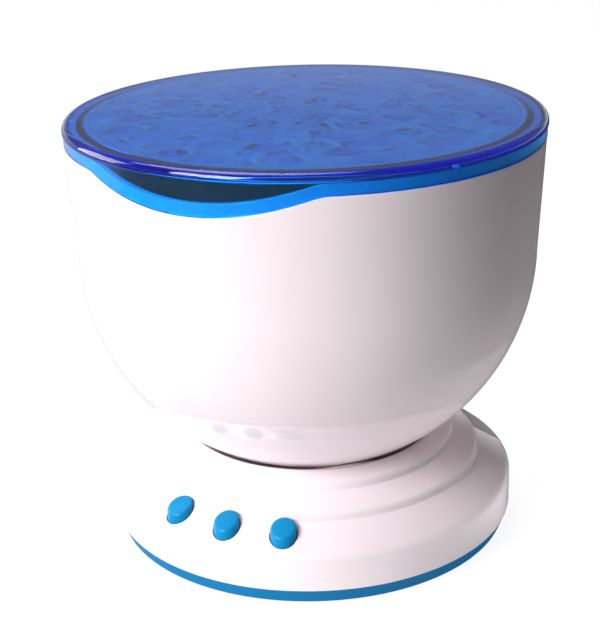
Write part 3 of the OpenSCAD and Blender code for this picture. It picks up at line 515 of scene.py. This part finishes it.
for turn in LUG_TURNS:
    bpy.ops.object.select_all(action="DESELECT")
    bpy.ops.mesh.primitive_cube_add(size=MM)
    lug = bpy.context.object
    lug.scale = (LUG_DEEP, LUG_WIDE, LUG_H)
    bpy.ops.object.transform_apply(scale=True)
    bpy.ops.object.mode_set(mode="EDIT")
    bpy.ops.mesh.bevel(offset=LUG_BEVEL * MM, segments=2)
    bpy.ops.object.mode_set(mode="OBJECT")
    place = Vector((SKIRT_IN - LUG_IN, 0, LUG_LOW + LUG_H / 2)) * MM
    settle(lug, Matrix.Rotation(radians(turn), 4, "Z") @ Matrix.Translation(place))
    combine(lid_cover, lug, "UNION")
finish(lid_cover, LID_ACRYLIC, LID_SMOOTH)
lid_cover.data.materials.append(FROSTED_STREAKED_ACRYLIC)
for face in lid_cover.data.polygons:
    x, y, z = face.center / MM
    face.material_index = int(FROST_LOW < z < FROST_HIGH and hypot(x, y) < FIELD_R + RING_W)
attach(lid_cover, "head")
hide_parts("lid")

# %% [markdown]
# ## The bowl
# The bowl is a ball below, nearly straight above, with a thinner rim that the lid slips over. It
# is turned with both its walls, so that it has a real thickness where it shows through the lid, and
# its rim follows the dip in the same way as the lid's skirt.

# %% Bowl outline and dip
SHOULDER_R, SHOULDER_LEAN = SKIRT_R - 0.1, 0.5
CAVITY_R = BALL_R - 2.2
RIM_R = SKIRT_IN - 0.15
RIM_TOP = EDGE + 3.2
SHOULDER_ROUND, RIM_EDGE_ROUND = 0.25, 0.3
DIP_FADE, SHOULDER_BAND = 11, 0.3
BALL_END = 88
BALL_STEPS, CAVITY_STEPS = 60, 30

wall = rounded([
    (BALL_R, BALL_Z, 0),
    (SHOULDER_R - SHOULDER_LEAN, EDGE - DIP_FADE, 0),
    (SHOULDER_R, EDGE, SHOULDER_ROUND),
    (RIM_R, EDGE, 0),
    (RIM_R, RIM_TOP, RIM_EDGE_ROUND),
    (CAVITY_R, RIM_TOP, RIM_EDGE_ROUND),
    (CAVITY_R, EDGE - DIP_FADE, 0),
    (CAVITY_R, BALL_Z, 0)])
ball_outside = arc(BALL_R, 0, BALL_END, BALL_STEPS)
ball_inside = arc(CAVITY_R, BALL_END, 0, CAVITY_STEPS)
bowl_shell = turned("bowl_shell", ball_outside + wall + ball_inside)


def rim_share(x, y, z):
    """How much of the dip a vertex takes: none well below the lid's edge, and all at the rim."""
    return between(z, EDGE - DIP_FADE, EDGE - SHOULDER_BAND) * dip(x, y) / DIP_DEPTH


weigh(bowl_shell, "dip", rim_share)
displace(bowl_shell, "dip", -DIP_DEPTH)
print("bowl outline:", len(ball_outside + wall + ball_inside), "points")

# %% [markdown]
# ## The bowl's flat
# The head turns on a seat ring, on a flat that lies square to the slanting swivel. A Boolean would do,
# but two bisect cuts leave cleaner edges: one through the outer wall, and one a floor's thickness
# higher inside. The vertices of one wall at a time are selected by their distance from the ball's
# middle.

# %% Bowl flat
FLAT_R = 10
FLAT = sqrt(BALL_R ** 2 - FLAT_R ** 2)
FLOOR = FLAT - 2.4


def cut_ball(piece, level, inner_r, outer_r):
    """Bisects what lies between two distances from the ball's middle, square to the swivel."""
    centre = Vector((0, 0, BALL_Z))
    bpy.ops.object.mode_set(mode="EDIT")
    bpy.ops.mesh.select_all(action="DESELECT")
    bpy.ops.object.mode_set(mode="OBJECT")
    for vertex in piece.data.vertices:
        reach = (vertex.co / MM - centre).length
        vertex.select = inner_r < reach < outer_r and vertex.co.z < BALL_Z * MM
    bpy.ops.object.mode_set(mode="EDIT")
    bpy.ops.mesh.bisect(plane_co=(centre - SWIVEL * level) * MM, plane_no=SWIVEL,
                        use_fill=True, clear_inner=True)
    bpy.ops.object.mode_set(mode="OBJECT")


wall_middle = (BALL_R + CAVITY_R) / 2
only(bowl_shell)
cut_ball(bowl_shell, FLAT, wall_middle, BALL_R + 1)
cut_ball(bowl_shell, FLOOR, 0, wall_middle)
print("bowl flat at", round(FLAT, 2), "mm from the ball's middle")

# %% [markdown]
# ## Openings of the bowl
# The swivel tube comes up through the middle of the flat, and the lid's lugs drop into three slots in
# the rim. Both are cut with Boolean tools, because they cross the turned wall at odd angles and no
# row of vertices runs along them.

# %% Bowl openings
TUBE_ROOM, BORE_LONG = 5.05, 20
HOLE_SIDES = 96
SLOT_DEEP, SLOT_WIDE, SLOT_H = 3.2, 3.2, 8
SLOT_LOW = EDGE + 0.6
SLOT_IN = 1

bpy.ops.object.select_all(action="DESELECT")
bpy.ops.mesh.primitive_cylinder_add(vertices=HOLE_SIDES, radius=TUBE_ROOM * MM, depth=BORE_LONG * MM)
bore = bpy.context.object
settle(bore, Matrix.Translation((Vector((0, 0, BALL_Z)) - SWIVEL * FLAT) * MM)
       @ SWIVEL.to_track_quat("Z", "Y").to_matrix().to_4x4())
combine(bowl_shell, bore, "DIFFERENCE")
for turn in LUG_TURNS:
    bpy.ops.object.select_all(action="DESELECT")
    bpy.ops.mesh.primitive_cube_add(size=MM)
    slot = bpy.context.object
    slot.scale = (SLOT_DEEP, SLOT_WIDE, SLOT_H)
    place = Vector((RIM_R - SLOT_IN, 0, SLOT_LOW + SLOT_H / 2)) * MM
    settle(slot, Matrix.Rotation(radians(turn), 4, "Z") @ Matrix.Translation(place) @ slot.matrix_world)
    combine(bowl_shell, slot, "DIFFERENCE")
finish(bowl_shell, WHITE_ABS)
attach(bowl_shell, "head")
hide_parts("bowl")

# %% [markdown]
# ## The base
# The base steps down from a collar round the ball to a wall that stands on the blue pan. Its
# outline holds three treads with soft crests and sharp creases, the lip and the dish under the
# ball. The creases stay sharp because they draw the dark lines round the base.

# %% Base outline
SHELL_T = 1.8
DISH_T = 1.6
WALL_TOP = 15
TREAD_W, TREAD_RISE = 9.3, 5.35
# Each tread's width and rise, with a short riser between two treads.
STEPS = [(TREAD_W, TREAD_RISE), (0.5, 2.05), (6.9, 3.0), (0.5, 2.0), (4.3, 1.9)]
BENDS = (0, 2.5, 0.5, 1.6, 0.5, 1.6, 0.45)
DISH_R = BALL_R + 0.8
LIP_R = sqrt(DISH_R ** 2 - (BALL_Z - COLLAR_TOP) ** 2)
LIP_ROUND = 0.3
DISH_STEPS, UNDER_STEPS = 30, 24

steps = [(BASE_R, BASE_LOW), (BASE_R, WALL_TOP)]
for width, rise in STEPS:
    steps.append((steps[-1][0] - width, steps[-1][1] + rise))
crests = [(r, z, bend) for (r, z), bend in zip(steps, BENDS)]
# The last point only shows the lip which way the dish goes on, so it is dropped again.
lip = [(LIP_R, COLLAR_TOP, LIP_ROUND), (LIP_R - 3, COLLAR_TOP - 1.9, 0)]
outside = rounded(crests + lip)[:-1]
dish = arc(DISH_R, degrees(asin((LIP_R - 1) / DISH_R)), 0, DISH_STEPS)
under_r = DISH_R + DISH_T
under = arc(under_r, 0, degrees(asin((LIP_R - 0.5) / under_r)), UNDER_STEPS)
inside = [Vector((r - SHELL_T, z - SHELL_T)) for r, z in reversed(steps[1:-1])]
inside.append(Vector((BASE_R - SHELL_T, BASE_LOW)))
base_housing = turned("base_housing", outside + dish + under + inside + [outside[0]])
print("base outline:", len(outside + dish + under + inside), "points")

# %% [markdown]
# ## Holes in the base
# The button holes go straight up through the sloping tread, so each one shows as an egg-shaped
# opening with a thin dark gap round its button. Two round holes at the back let plugs into the
# sockets. A cylinder cuts each hole, because a hole drawn in the outline would go all the way round.

# %% Button and socket holes
BUTTON_R = 3.55
BUTTON_GAP = 0.3
BUTTON_INSET = 5.7
BUTTON_TURNS = {"button_left": -17.5, "button_centre": 0, "button_right": 17.5}
SOCKET_R, SOCKET_SIDE, SOCKET_Z = 2.75, 8, 8
SMALL_SIDES = 64
HOLE_LONG = 12


def on_tread(turn):
    """The matrix of a button: upright on the tread, at an angle from the front."""
    place = Vector((0, BUTTON_INSET - BASE_R, WALL_TOP + BUTTON_INSET * TREAD_RISE / TREAD_W)) * MM
    return Matrix.Rotation(radians(turn), 4, "Z") @ Matrix.Translation(place)


for turn in BUTTON_TURNS.values():
    bpy.ops.object.select_all(action="DESELECT")
    bpy.ops.mesh.primitive_cylinder_add(vertices=HOLE_SIDES, radius=(BUTTON_R + BUTTON_GAP) * MM,
                                        depth=HOLE_LONG * MM)
    tool = bpy.context.object
    settle(tool, on_tread(turn))
    combine(base_housing, tool, "DIFFERENCE")
for side in (-1, 1):
    bpy.ops.object.select_all(action="DESELECT")
    bpy.ops.mesh.primitive_cylinder_add(vertices=SMALL_SIDES, radius=SOCKET_R * MM,
                                        depth=HOLE_LONG * MM)
    tool = bpy.context.object
    place = Vector((side * SOCKET_SIDE, BASE_R, SOCKET_Z)) * MM
    settle(tool, Matrix.Translation(place) @ Matrix.Rotation(pi / 2, 4, "X"))
    combine(base_housing, tool, "DIFFERENCE")
finish(base_housing, WHITE_ABS)
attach(base_housing, "base")
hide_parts("base_shell")

# %% [markdown]
# ## The button caps
# A button is an upright cap with a slightly crowned top and a soft edge, on a flange that keeps it
# under the shell. It could be cut from a cylinder, but turning it gives the crown and the soft edge in
# one go. It is turned level here, and lower by what its slopes will lift it.

# %% Button outline
BUTTON_PROUD, BUTTON_SLOPE = 2.4, tan(radians(23))
TREAD_SLOPE = TREAD_RISE / TREAD_W
CROWN, CAP_ROUND = 0.25, 0.9
CROWN_RINGS = (2.4, 1.8, 1.2, 0.6, 0)
FLANGE_R, FLANGE_LOW, FLANGE_HIGH = 4.9, -7.1, -3.4
FLANGE_ROUND = 0.2

flange_top = FLANGE_HIGH - FLANGE_R * TREAD_SLOPE
cap_top = BUTTON_PROUD - FLANGE_R * BUTTON_SLOPE
crown_r = (BUTTON_R ** 2 + CROWN ** 2) / (2 * CROWN)
crown = [Vector((r, cap_top - crown_r + sqrt(crown_r ** 2 - r ** 2))) for r in CROWN_RINGS]
cap = rounded([
    (0, FLANGE_LOW, 0),
    (FLANGE_R, FLANGE_LOW, FLANGE_ROUND),
    (FLANGE_R, flange_top, FLANGE_ROUND),
    (BUTTON_R, flange_top, 0),
    (BUTTON_R, cap_top - CROWN, CAP_ROUND),
    (CROWN_RINGS[0], crown[0].y, 0)])
master = turned("button_master", cap + crown[1:], HOLE_SIDES)
print("button outline:", len(cap + crown[1:]), "points")

# %% [markdown]
# ## Slopes and stem of a button
# The buttons slope with the tread that they sit in. Two Displace modifiers tilt rows of vertices: the
# flange's top follows the tread, and the cap's top slopes a little less. Moving rows straight up or
# down keeps the sides upright, which turning the whole button would not. A bisect cut takes off the
# part of the flange that would meet the wall, and a turned stem for the switch is joined on below.

# %% Button slopes and stem
FLANGE_CUT = 3.7
FLANGE_BAND, CAP_BAND = 0.3, 2
STEM_R, STEM_LOW, STEM_HIGH, STEM_IN = 2.1, -7.6, FLANGE_LOW + 0.5, 2.4


def flange_share(x, y, z):
    """From 0 at the front to 1 at the back of the flange's top."""
    return (abs(z - flange_top) < FLANGE_BAND) * (y + FLANGE_R) / (2 * FLANGE_R)


def top_share(x, y, z):
    """From 0 at the front to 1 at the back of the cap's top."""
    return (z > cap_top - CAP_BAND) * (y + FLANGE_R) / (2 * FLANGE_R)


weigh(master, "flange", flange_share)
weigh(master, "top", top_share)
displace(master, "flange", 2 * FLANGE_R * TREAD_SLOPE)
displace(master, "top", 2 * FLANGE_R * BUTTON_SLOPE)
only(master)
bpy.ops.object.mode_set(mode="EDIT")
bpy.ops.mesh.select_all(action="SELECT")
bpy.ops.mesh.bisect(plane_co=(0, -FLANGE_CUT * MM, 0), plane_no=(0, -1, 0),
                    use_fill=True, clear_outer=True)
bpy.ops.object.mode_set(mode="OBJECT")
stem_outline = rounded([
    (0, STEM_LOW, 0),
    (STEM_R, STEM_LOW, FLANGE_ROUND),
    (STEM_R, STEM_HIGH, 0),
    (0, STEM_HIGH, 0)])
stem = turned("button_stem", stem_outline, SMALL_SIDES)
settle(stem, Matrix.Translation((0, STEM_IN * MM, 0)))
combine(master, stem, "UNION")
print("button master has", len(master.data.vertices), "vertices")

# %% [markdown]
# ## Three buttons
# The three buttons are the same moulding at three places on the tread. Each is a copy with a mesh of
# its own, because each one moves by itself. The master is removed at the end.

# %% Button copies
for node, turn in BUTTON_TURNS.items():
    only(master)
    bpy.ops.object.duplicate()
    button = bpy.context.object
    button.name = button.data.name = node + "_cap"
    settle(button, on_tread(turn))
    finish(button, BUTTON_ABS)
    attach(button, node.split("_")[1] + "_button")
    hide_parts(node)
bpy.data.objects.remove(master)

# %% [markdown]
# ## Metals
# Screws, springs and the swivel tube are plated steel, and the nuts are turned brass. A metal shows
# by its reflections, so its colour hardly varies, but its polish does: fine marks of the tool spread
# each highlight. Real marks are finer than these, which are drawn coarse enough to show.

# %% Metals
MARK_SPAN = (0.25, 0.75)
MARK_POLISH = (0.7, 1.4)


def metal(name, light, dark, rough, line):
    """Plated or turned metal, with marks of the tool this size and uneven polish."""
    material, tree, shader, place = new_material(name)
    marks = add(tree, "ShaderNodeTexNoise", {"Vector": place}, {"Scale": grain(line), "Detail": 5})
    share = add(tree, "ShaderNodeMapRange", {"Value": marks.outputs["Fac"]},
                {"From Min": MARK_SPAN[0], "From Max": MARK_SPAN[1]})
    tint = add(tree, "ShaderNodeMix", {0: share.outputs["Result"]},
               {MIX_A: linear(dark), MIX_B: linear(light)}, data_type="RGBA")
    tree.links.new(tint.outputs[MIXED], shader.inputs["Base Color"])
    uneven = add(tree, "ShaderNodeMapRange", {"Value": marks.outputs["Fac"]},
                 {"To Min": rough * MARK_POLISH[0], "To Max": rough * MARK_POLISH[1]})
    tree.links.new(uneven.outputs["Result"], shader.inputs["Roughness"])
    shader.inputs["Metallic"].default_value = 1.0
    return material


# Nickel on steel: a pale, neutral grey with soft highlights.
STEEL = metal("nickel_plated_steel", "#C9CACC", "#AEB0B3", 0.28, 0.6)
# Turned brass: yellow, with a streaky shine.
BRASS = metal("turned_brass", "#C9A35A", "#B48B43", 0.3, 0.5)
# Zinc on the speaker's basket: a darker, duller grey than the screws.
ZINC = metal("zinc_plated_basket", "#8B9096", "#747980", 0.38, 0.9)
print("metals:", ", ".join(m.name for m in (STEEL, BRASS, ZINC)))

# %% [markdown]
# ## Rubber, paper and lacquer
# The feet are silicone rubber, the speaker's cone is paper, and boards and cells wear a thin coat of
# lacquer or film. All of them are dull with a fine grain, so they share a recipe: cells of a Voronoi
# texture give both the specks of colour and the bumps. The grain is drawn coarser than it is, so that
# it shows.

# %% Rubber, paper and lacquer
SPOT_SPAN = (0.1, 0.8)
SPOT_BUMP = 0.3


def matte(name, light, dark, rough, spot, depth):
    """A dull surface with a grain of this size and depth: rubber, paper or lacquer."""
    material, tree, shader, place = new_material(name)
    dots = add(tree, "ShaderNodeTexVoronoi", {"Vector": place}, {"Scale": grain(spot)})
    share = add(tree, "ShaderNodeMapRange", {"Value": dots.outputs["Distance"]},
                {"From Min": SPOT_SPAN[0], "From Max": SPOT_SPAN[1]})
    tint = add(tree, "ShaderNodeMix", {0: share.outputs["Result"]},
               {MIX_A: linear(light), MIX_B: linear(dark)}, data_type="RGBA")
    tree.links.new(tint.outputs[MIXED], shader.inputs["Base Color"])
    bump = add(tree, "ShaderNodeBump", {"Height": dots.outputs["Distance"]},
               {"Strength": SPOT_BUMP, "Distance": depth * MM})
    tree.links.new(bump.outputs["Normal"], shader.inputs["Normal"])
    shader.inputs["Roughness"].default_value = rough
    return material


# Silicone rubber: dark grey and dull, with a dusty grain.
RUBBER = matte("grey_silicone_rubber", "#3A3B3D", "#2C2D2F", 0.75, 0.7, 0.05)
# Pressed paper: black, with fibres that catch a little light.
PAPER = matte("black_paper_cone", "#232324", "#161617", 0.85, 0.5, 0.08)
# Solder mask: green lacquer with a dull shine. The lamps' board has it in white, to throw light up.
MASK = matte("green_solder_mask", "#1F6B45", "#185538", 0.35, 1.2, 0.02)
WHITE_MASK = matte("white_solder_mask", "#EDEDE8", "#E2E2DC", 0.4, 1.2, 0.02)
# Plain film shrunk on the cells: an even ochre that is a little wavy.
WRAP = matte("plain_cell_wrap", "#B98B2E", "#A87C27", 0.32, 2.5, 0.02)
print("dull finishes:", ", ".join(m.name for m in (RUBBER, PAPER, MASK, WHITE_MASK, WRAP)))

# %% [markdown]
# ## Clear plastics
# The lamps' lenses and the disc that makes the waves are clear. They show by what they bend and
# mirror, so they need an even, nearly white colour and a polish that varies. As in the lid, lamps
# shine straight through them.

# %% Clear plastics
POLISH_SIZE = 6


def clear(name, ior, low, high):
    """Clear moulded plastic with a roughness that varies between two values."""
    material, tree, shader, place = new_material(name)
    flow = add(tree, "ShaderNodeTexNoise", {"Vector": place}, {"Scale": grain(POLISH_SIZE), "Detail": 3})
    uneven = add(tree, "ShaderNodeMapRange", {"Value": flow.outputs["Fac"]},
                 {"To Min": low, "To Max": high})
    tree.links.new(uneven.outputs["Result"], shader.inputs["Roughness"])
    shader.inputs["Base Color"].default_value = linear("#F4F8FA")
    shader.inputs["Transmission Weight"].default_value = 1.0
    shader.inputs["IOR"].default_value = ior
    let_through(tree, shader.outputs["BSDF"], "#E4E8EA")
    return material


# Cast epoxy: a bright glint on each lens.
LENS = clear("clear_epoxy_lens", 1.5, 0.03, 0.1)
# Moulded polycarbonate: a hazy disc that spreads what lies behind it.
DISC = clear("clear_polycarbonate_disc", 1.58, 0.12, 0.25)
print("clear plastics:", LENS.name, "and", DISC.name)

# %% [markdown]
# ## Pieces that keep their solids
# Through the lid one sees a little of the disc, the lamps and the tray, and the underside shows the
# feet, the door and its screw. Their solids have the right shape already, so they stay, and each gets
# the finish of its real material.

# %% Dress the nodes that stay
FINISHES = [
    (PAN_ABS, "bottom_cover battery_door"),
    (RUBBER, "rubber_feet"),
    (STEEL, "case_screws board_screws tray_screws motor_screws door_screw disc_spindle spindle_clip"
            " swivel_tube contact_springs contact_plates gear_motor"),
    (BRASS, "tube_nut swivel_nut"),
    (MASK, "switch_board control_board"),
    (WHITE_MASK, "led_board"),
    (LENS, "leds"),
    (DISC, "ripple_disc"),
    (BLACK_ABS, "tact_switches dc_jack audio_jack swivel_washer"),
    (WRAP, "battery_cells"),
    (ACETAL, "disc_gear motor_pinion seat_ring"),
    (TRAY_ABS, "light_tray"),
    (ZINC, "speaker"),
    (PAPER, "speaker_cone"),
]
dressed = 0
for material, names in FINISHES:
    for name in names.split():
        node = frame["nodes"][name]
        node.data.materials.clear()
        node.data.materials.append(material)
        dressed += 1
print(dressed, "nodes dressed")

# %% [markdown]
# ## Which rays see white
# The picture has a white background, and the lamp's gloss and clear plastic show it too. Light strong
# enough to make the floor white would bleach the lamp, so the floor and the world turn white only for
# rays that look at them, and stay dim for rays that carry light to a dull surface. The Light Path node
# tells the two apart.

# %% Helper for rays
def seen(tree, kinds):
    """1 for rays of these kinds that haven't met a dull surface, and 0 for all others."""
    path = add(tree, "ShaderNodeLightPath")
    total = path.outputs[kinds[0]]
    for kind in kinds[1:]:
        either = add(tree, "ShaderNodeMath", {0: total, 1: path.outputs[kind]}, operation="MAXIMUM")
        total = either.outputs[0]
    # The depth counts meetings, so less than a half means none.
    fresh = add(tree, "ShaderNodeMath", {0: path.outputs["Diffuse Depth"]}, {1: 0.5},
                operation="LESS_THAN")
    return add(tree, "ShaderNodeMath", {0: total, 1: fresh.outputs[0]}, operation="MULTIPLY").outputs[0]


print("helper ready:", seen.__name__)

# %% [markdown]
# ## The floor
# The lamp stands on plain white paper. The paper itself is grey, and it adds white for the camera and
# for what shows through the lid. In reflections it is bright at the back left only, because bright
# paper all round would wash out the glossy head. It is one-sided, so that the lamp can be looked at
# from below.

# %% Floor
FLOOR_SIZE = 6
FLOOR_GLOW = 0.92
MIRROR_GLOW = 0.5
FLOOR_EDGE = 0.03
CAMERA_TURN = 26.3

bpy.ops.object.select_all(action="DESELECT")
bpy.ops.mesh.primitive_plane_add(size=FLOOR_SIZE)
floor = bpy.context.object
floor.name = "studio_floor"
# Uncoated paper: dull, with no highlight of its own.
paper, tree, shader, place = new_material("white_studio_paper")
shader.inputs["Base Color"].default_value = linear("#707070")
shader.inputs["Roughness"].default_value = 0.9
shader.inputs["Specular IOR Level"].default_value = 0.1
turned_place = add(tree, "ShaderNodeMapping", {"Vector": place},
                   {"Rotation": (0, 0, radians(-CAMERA_TURN))})
across = add(tree, "ShaderNodeSeparateXYZ", {0: turned_place.outputs["Vector"]})
left = add(tree, "ShaderNodeMapRange",
           {"Value": across.outputs["X"], "To Max": seen(tree, ("Is Glossy Ray",))},
           {"From Min": 0.0, "From Max": -FLOOR_EDGE})
mirrored = add(tree, "ShaderNodeMapRange",
               {"Value": across.outputs["Y"], "To Max": left.outputs["Result"]},
               {"From Min": -FLOOR_EDGE, "From Max": 0.0})
direct = seen(tree, ("Is Camera Ray", "Is Transmission Ray"))
shown = add(tree, "ShaderNodeMath", {0: mirrored.outputs["Result"], 2: direct}, {1: MIRROR_GLOW},
            operation="MULTIPLY_ADD")
glow = add(tree, "ShaderNodeMath", {0: shown.outputs[0]}, {1: FLOOR_GLOW}, operation="MULTIPLY")
shader.inputs["Emission Color"].default_value = linear("#FFFFFF")
tree.links.new(glow.outputs[0], shader.inputs["Emission Strength"])
below = add(tree, "ShaderNodeNewGeometry").outputs["Backfacing"]
nothing = add(tree, "ShaderNodeBsdfTransparent")
one_sided = add(tree, "ShaderNodeMixShader",
                {0: below, 1: shader.outputs["BSDF"], 2: nothing.outputs["BSDF"]})
output = next(n for n in tree.nodes if n.type == "OUTPUT_MATERIAL")
tree.links.new(one_sided.outputs["Shader"], output.inputs["Surface"])
floor.data.materials.append(paper)
print("floor of", FLOOR_SIZE, "m in", paper.name)

# %% [markdown]
# ## The world
# What the camera and the glossy pieces see round the lamp is white at the horizon and grey overhead,
# so the lid's top has a bright sheen at its far edge and is deep blue nearer the camera. As light, the
# world is faint. The lamps do that work, because light from all round would flatten the ball.

# %% World
WORLD_LIGHT = 0.025
SKY_HIGH = 0.28
# How steeply a ray climbs where the white starts to fade and where it is down to the grey.
SKY_FADE = (0.06, 0.225)

world = bpy.data.worlds.new("studio")
bpy.context.scene.world = world
world.use_nodes = True
tree = world.node_tree
tree.nodes.clear()
direction = add(tree, "ShaderNodeTexCoord").outputs["Generated"]
way = add(tree, "ShaderNodeSeparateXYZ", {"Vector": direction})
shown = add(tree, "ShaderNodeMapRange", {"Value": way.outputs["Z"]},
            {"From Min": SKY_FADE[0], "From Max": SKY_FADE[1], "To Min": 1.0, "To Max": SKY_HIGH})
rays = seen(tree, ("Is Camera Ray", "Is Glossy Ray", "Is Transmission Ray"))
level = add(tree, "ShaderNodeMapRange", {"Value": rays, "To Max": shown.outputs["Result"]},
            {"To Min": WORLD_LIGHT})
sky = add(tree, "ShaderNodeBackground", {"Strength": level.outputs["Result"]},
          {"Color": linear("#FFFFFF")})
add(tree, "ShaderNodeOutputWorld", {"Surface": sky.outputs["Background"]})
print("world gives", WORLD_LIGHT, "as light, and", SKY_HIGH, "overhead in reflections")

# %% [markdown]
# ## Camera
# The camera is the one that took the picture: its distance, height, tilt and focal length follow
# from the round edges in the photograph. The lamp is turned so that its front looks a little to
# the camera's left.

# %% Camera
CAMERA_REACH, CAMERA_HEIGHT = 388.35, 208.97
PITCH, YAW, ROLL = 20.691, -0.383, -1.387
FOCAL, SENSOR = 83.755, 36

facing = Matrix.Rotation(radians(CAMERA_TURN), 4, "Z")
data = bpy.data.cameras.new("camera")
data.lens = FOCAL
data.sensor_width = SENSOR
data.clip_start = 0.01
data.clip_end = 20
camera = bpy.data.objects.new("camera", data)
bpy.context.scene.collection.objects.link(camera)
camera.matrix_world = (Matrix.Translation(facing @ (Vector((0, -CAMERA_REACH, CAMERA_HEIGHT)) * MM))
                       @ Matrix.Rotation(radians(CAMERA_TURN - YAW), 4, "Z")
                       @ Matrix.Rotation(radians(90 - PITCH), 4, "X")
                       @ Matrix.Rotation(radians(ROLL), 4, "Z"))
bpy.context.scene.camera = camera
print("camera at", [round(x / MM) for x in camera.location], "mm")

# %% [markdown]
# ## Lamps
# The light is soft and comes from the left. The key lamp stands at the camera's left, one above and
# behind lights the lid and the floor, and a weaker one fills the left side, so the head's right side
# falls to grey. White paper also sends light up from below. Two flat lamps on the floor do that here,
# because the floor is too dark to: one under the lamp, and a narrow one at its right. They don't show
# in reflections.

# %% Lamps
# Degrees to the side of the camera and above the floor, then distance and size in metres, and watts.
LAMPS = {
    "key_left": (-46, 28, 0.9, 0.5, 11.5),
    "top_back": (-145, 68, 1.0, 0.7, 7.0),
    "left_fill": (-108, 18, 0.9, 0.5, 4.5),
}
# Millimetres to the right and back, then width and depth in metres, and watts.
TABLES = {
    "light_table": (0, 0, 0.26, 0.26, 0.16),
    "light_table_right": (98, 15, 0.07, 0.22, 0.11),
}
AIM_Z, TABLE_Z = 70, 0.2


def area_lamp(name, size, power):
    """A square lamp of a size in metres and a power in watts, which shines along its own -Z."""
    data = bpy.data.lights.new(name, "AREA")
    data.size = size
    data.energy = power
    lamp = bpy.data.objects.new(name, data)
    bpy.context.scene.collection.objects.link(lamp)
    print(name, power, "W")
    return lamp


aim = Vector((0, 0, AIM_Z)) * MM
for name, (swing, rise, reach, size, power) in LAMPS.items():
    lamp = area_lamp(name, size, power)
    level_way = Vector((0, -cos(radians(rise)), sin(radians(rise))))
    way = Matrix.Rotation(radians(CAMERA_TURN + swing), 4, "Z") @ level_way
    lamp.location = aim + way * reach
    lamp.rotation_euler = way.to_track_quat("Z", "Y").to_euler()
for name, (right, back, width, depth, power) in TABLES.items():
    table = area_lamp(name, width, power)
    table.data.shape = "RECTANGLE"
    table.data.size_y = depth
    place = Vector((right, back, TABLE_Z)) * MM
    table.matrix_world = facing @ Matrix.Translation(place) @ Matrix.Rotation(pi, 4, "X")
    table.visible_camera = False
    table.visible_glossy = False
    table.visible_transmission = False
bpy.context.scene.view_settings.view_transform = "Standard"
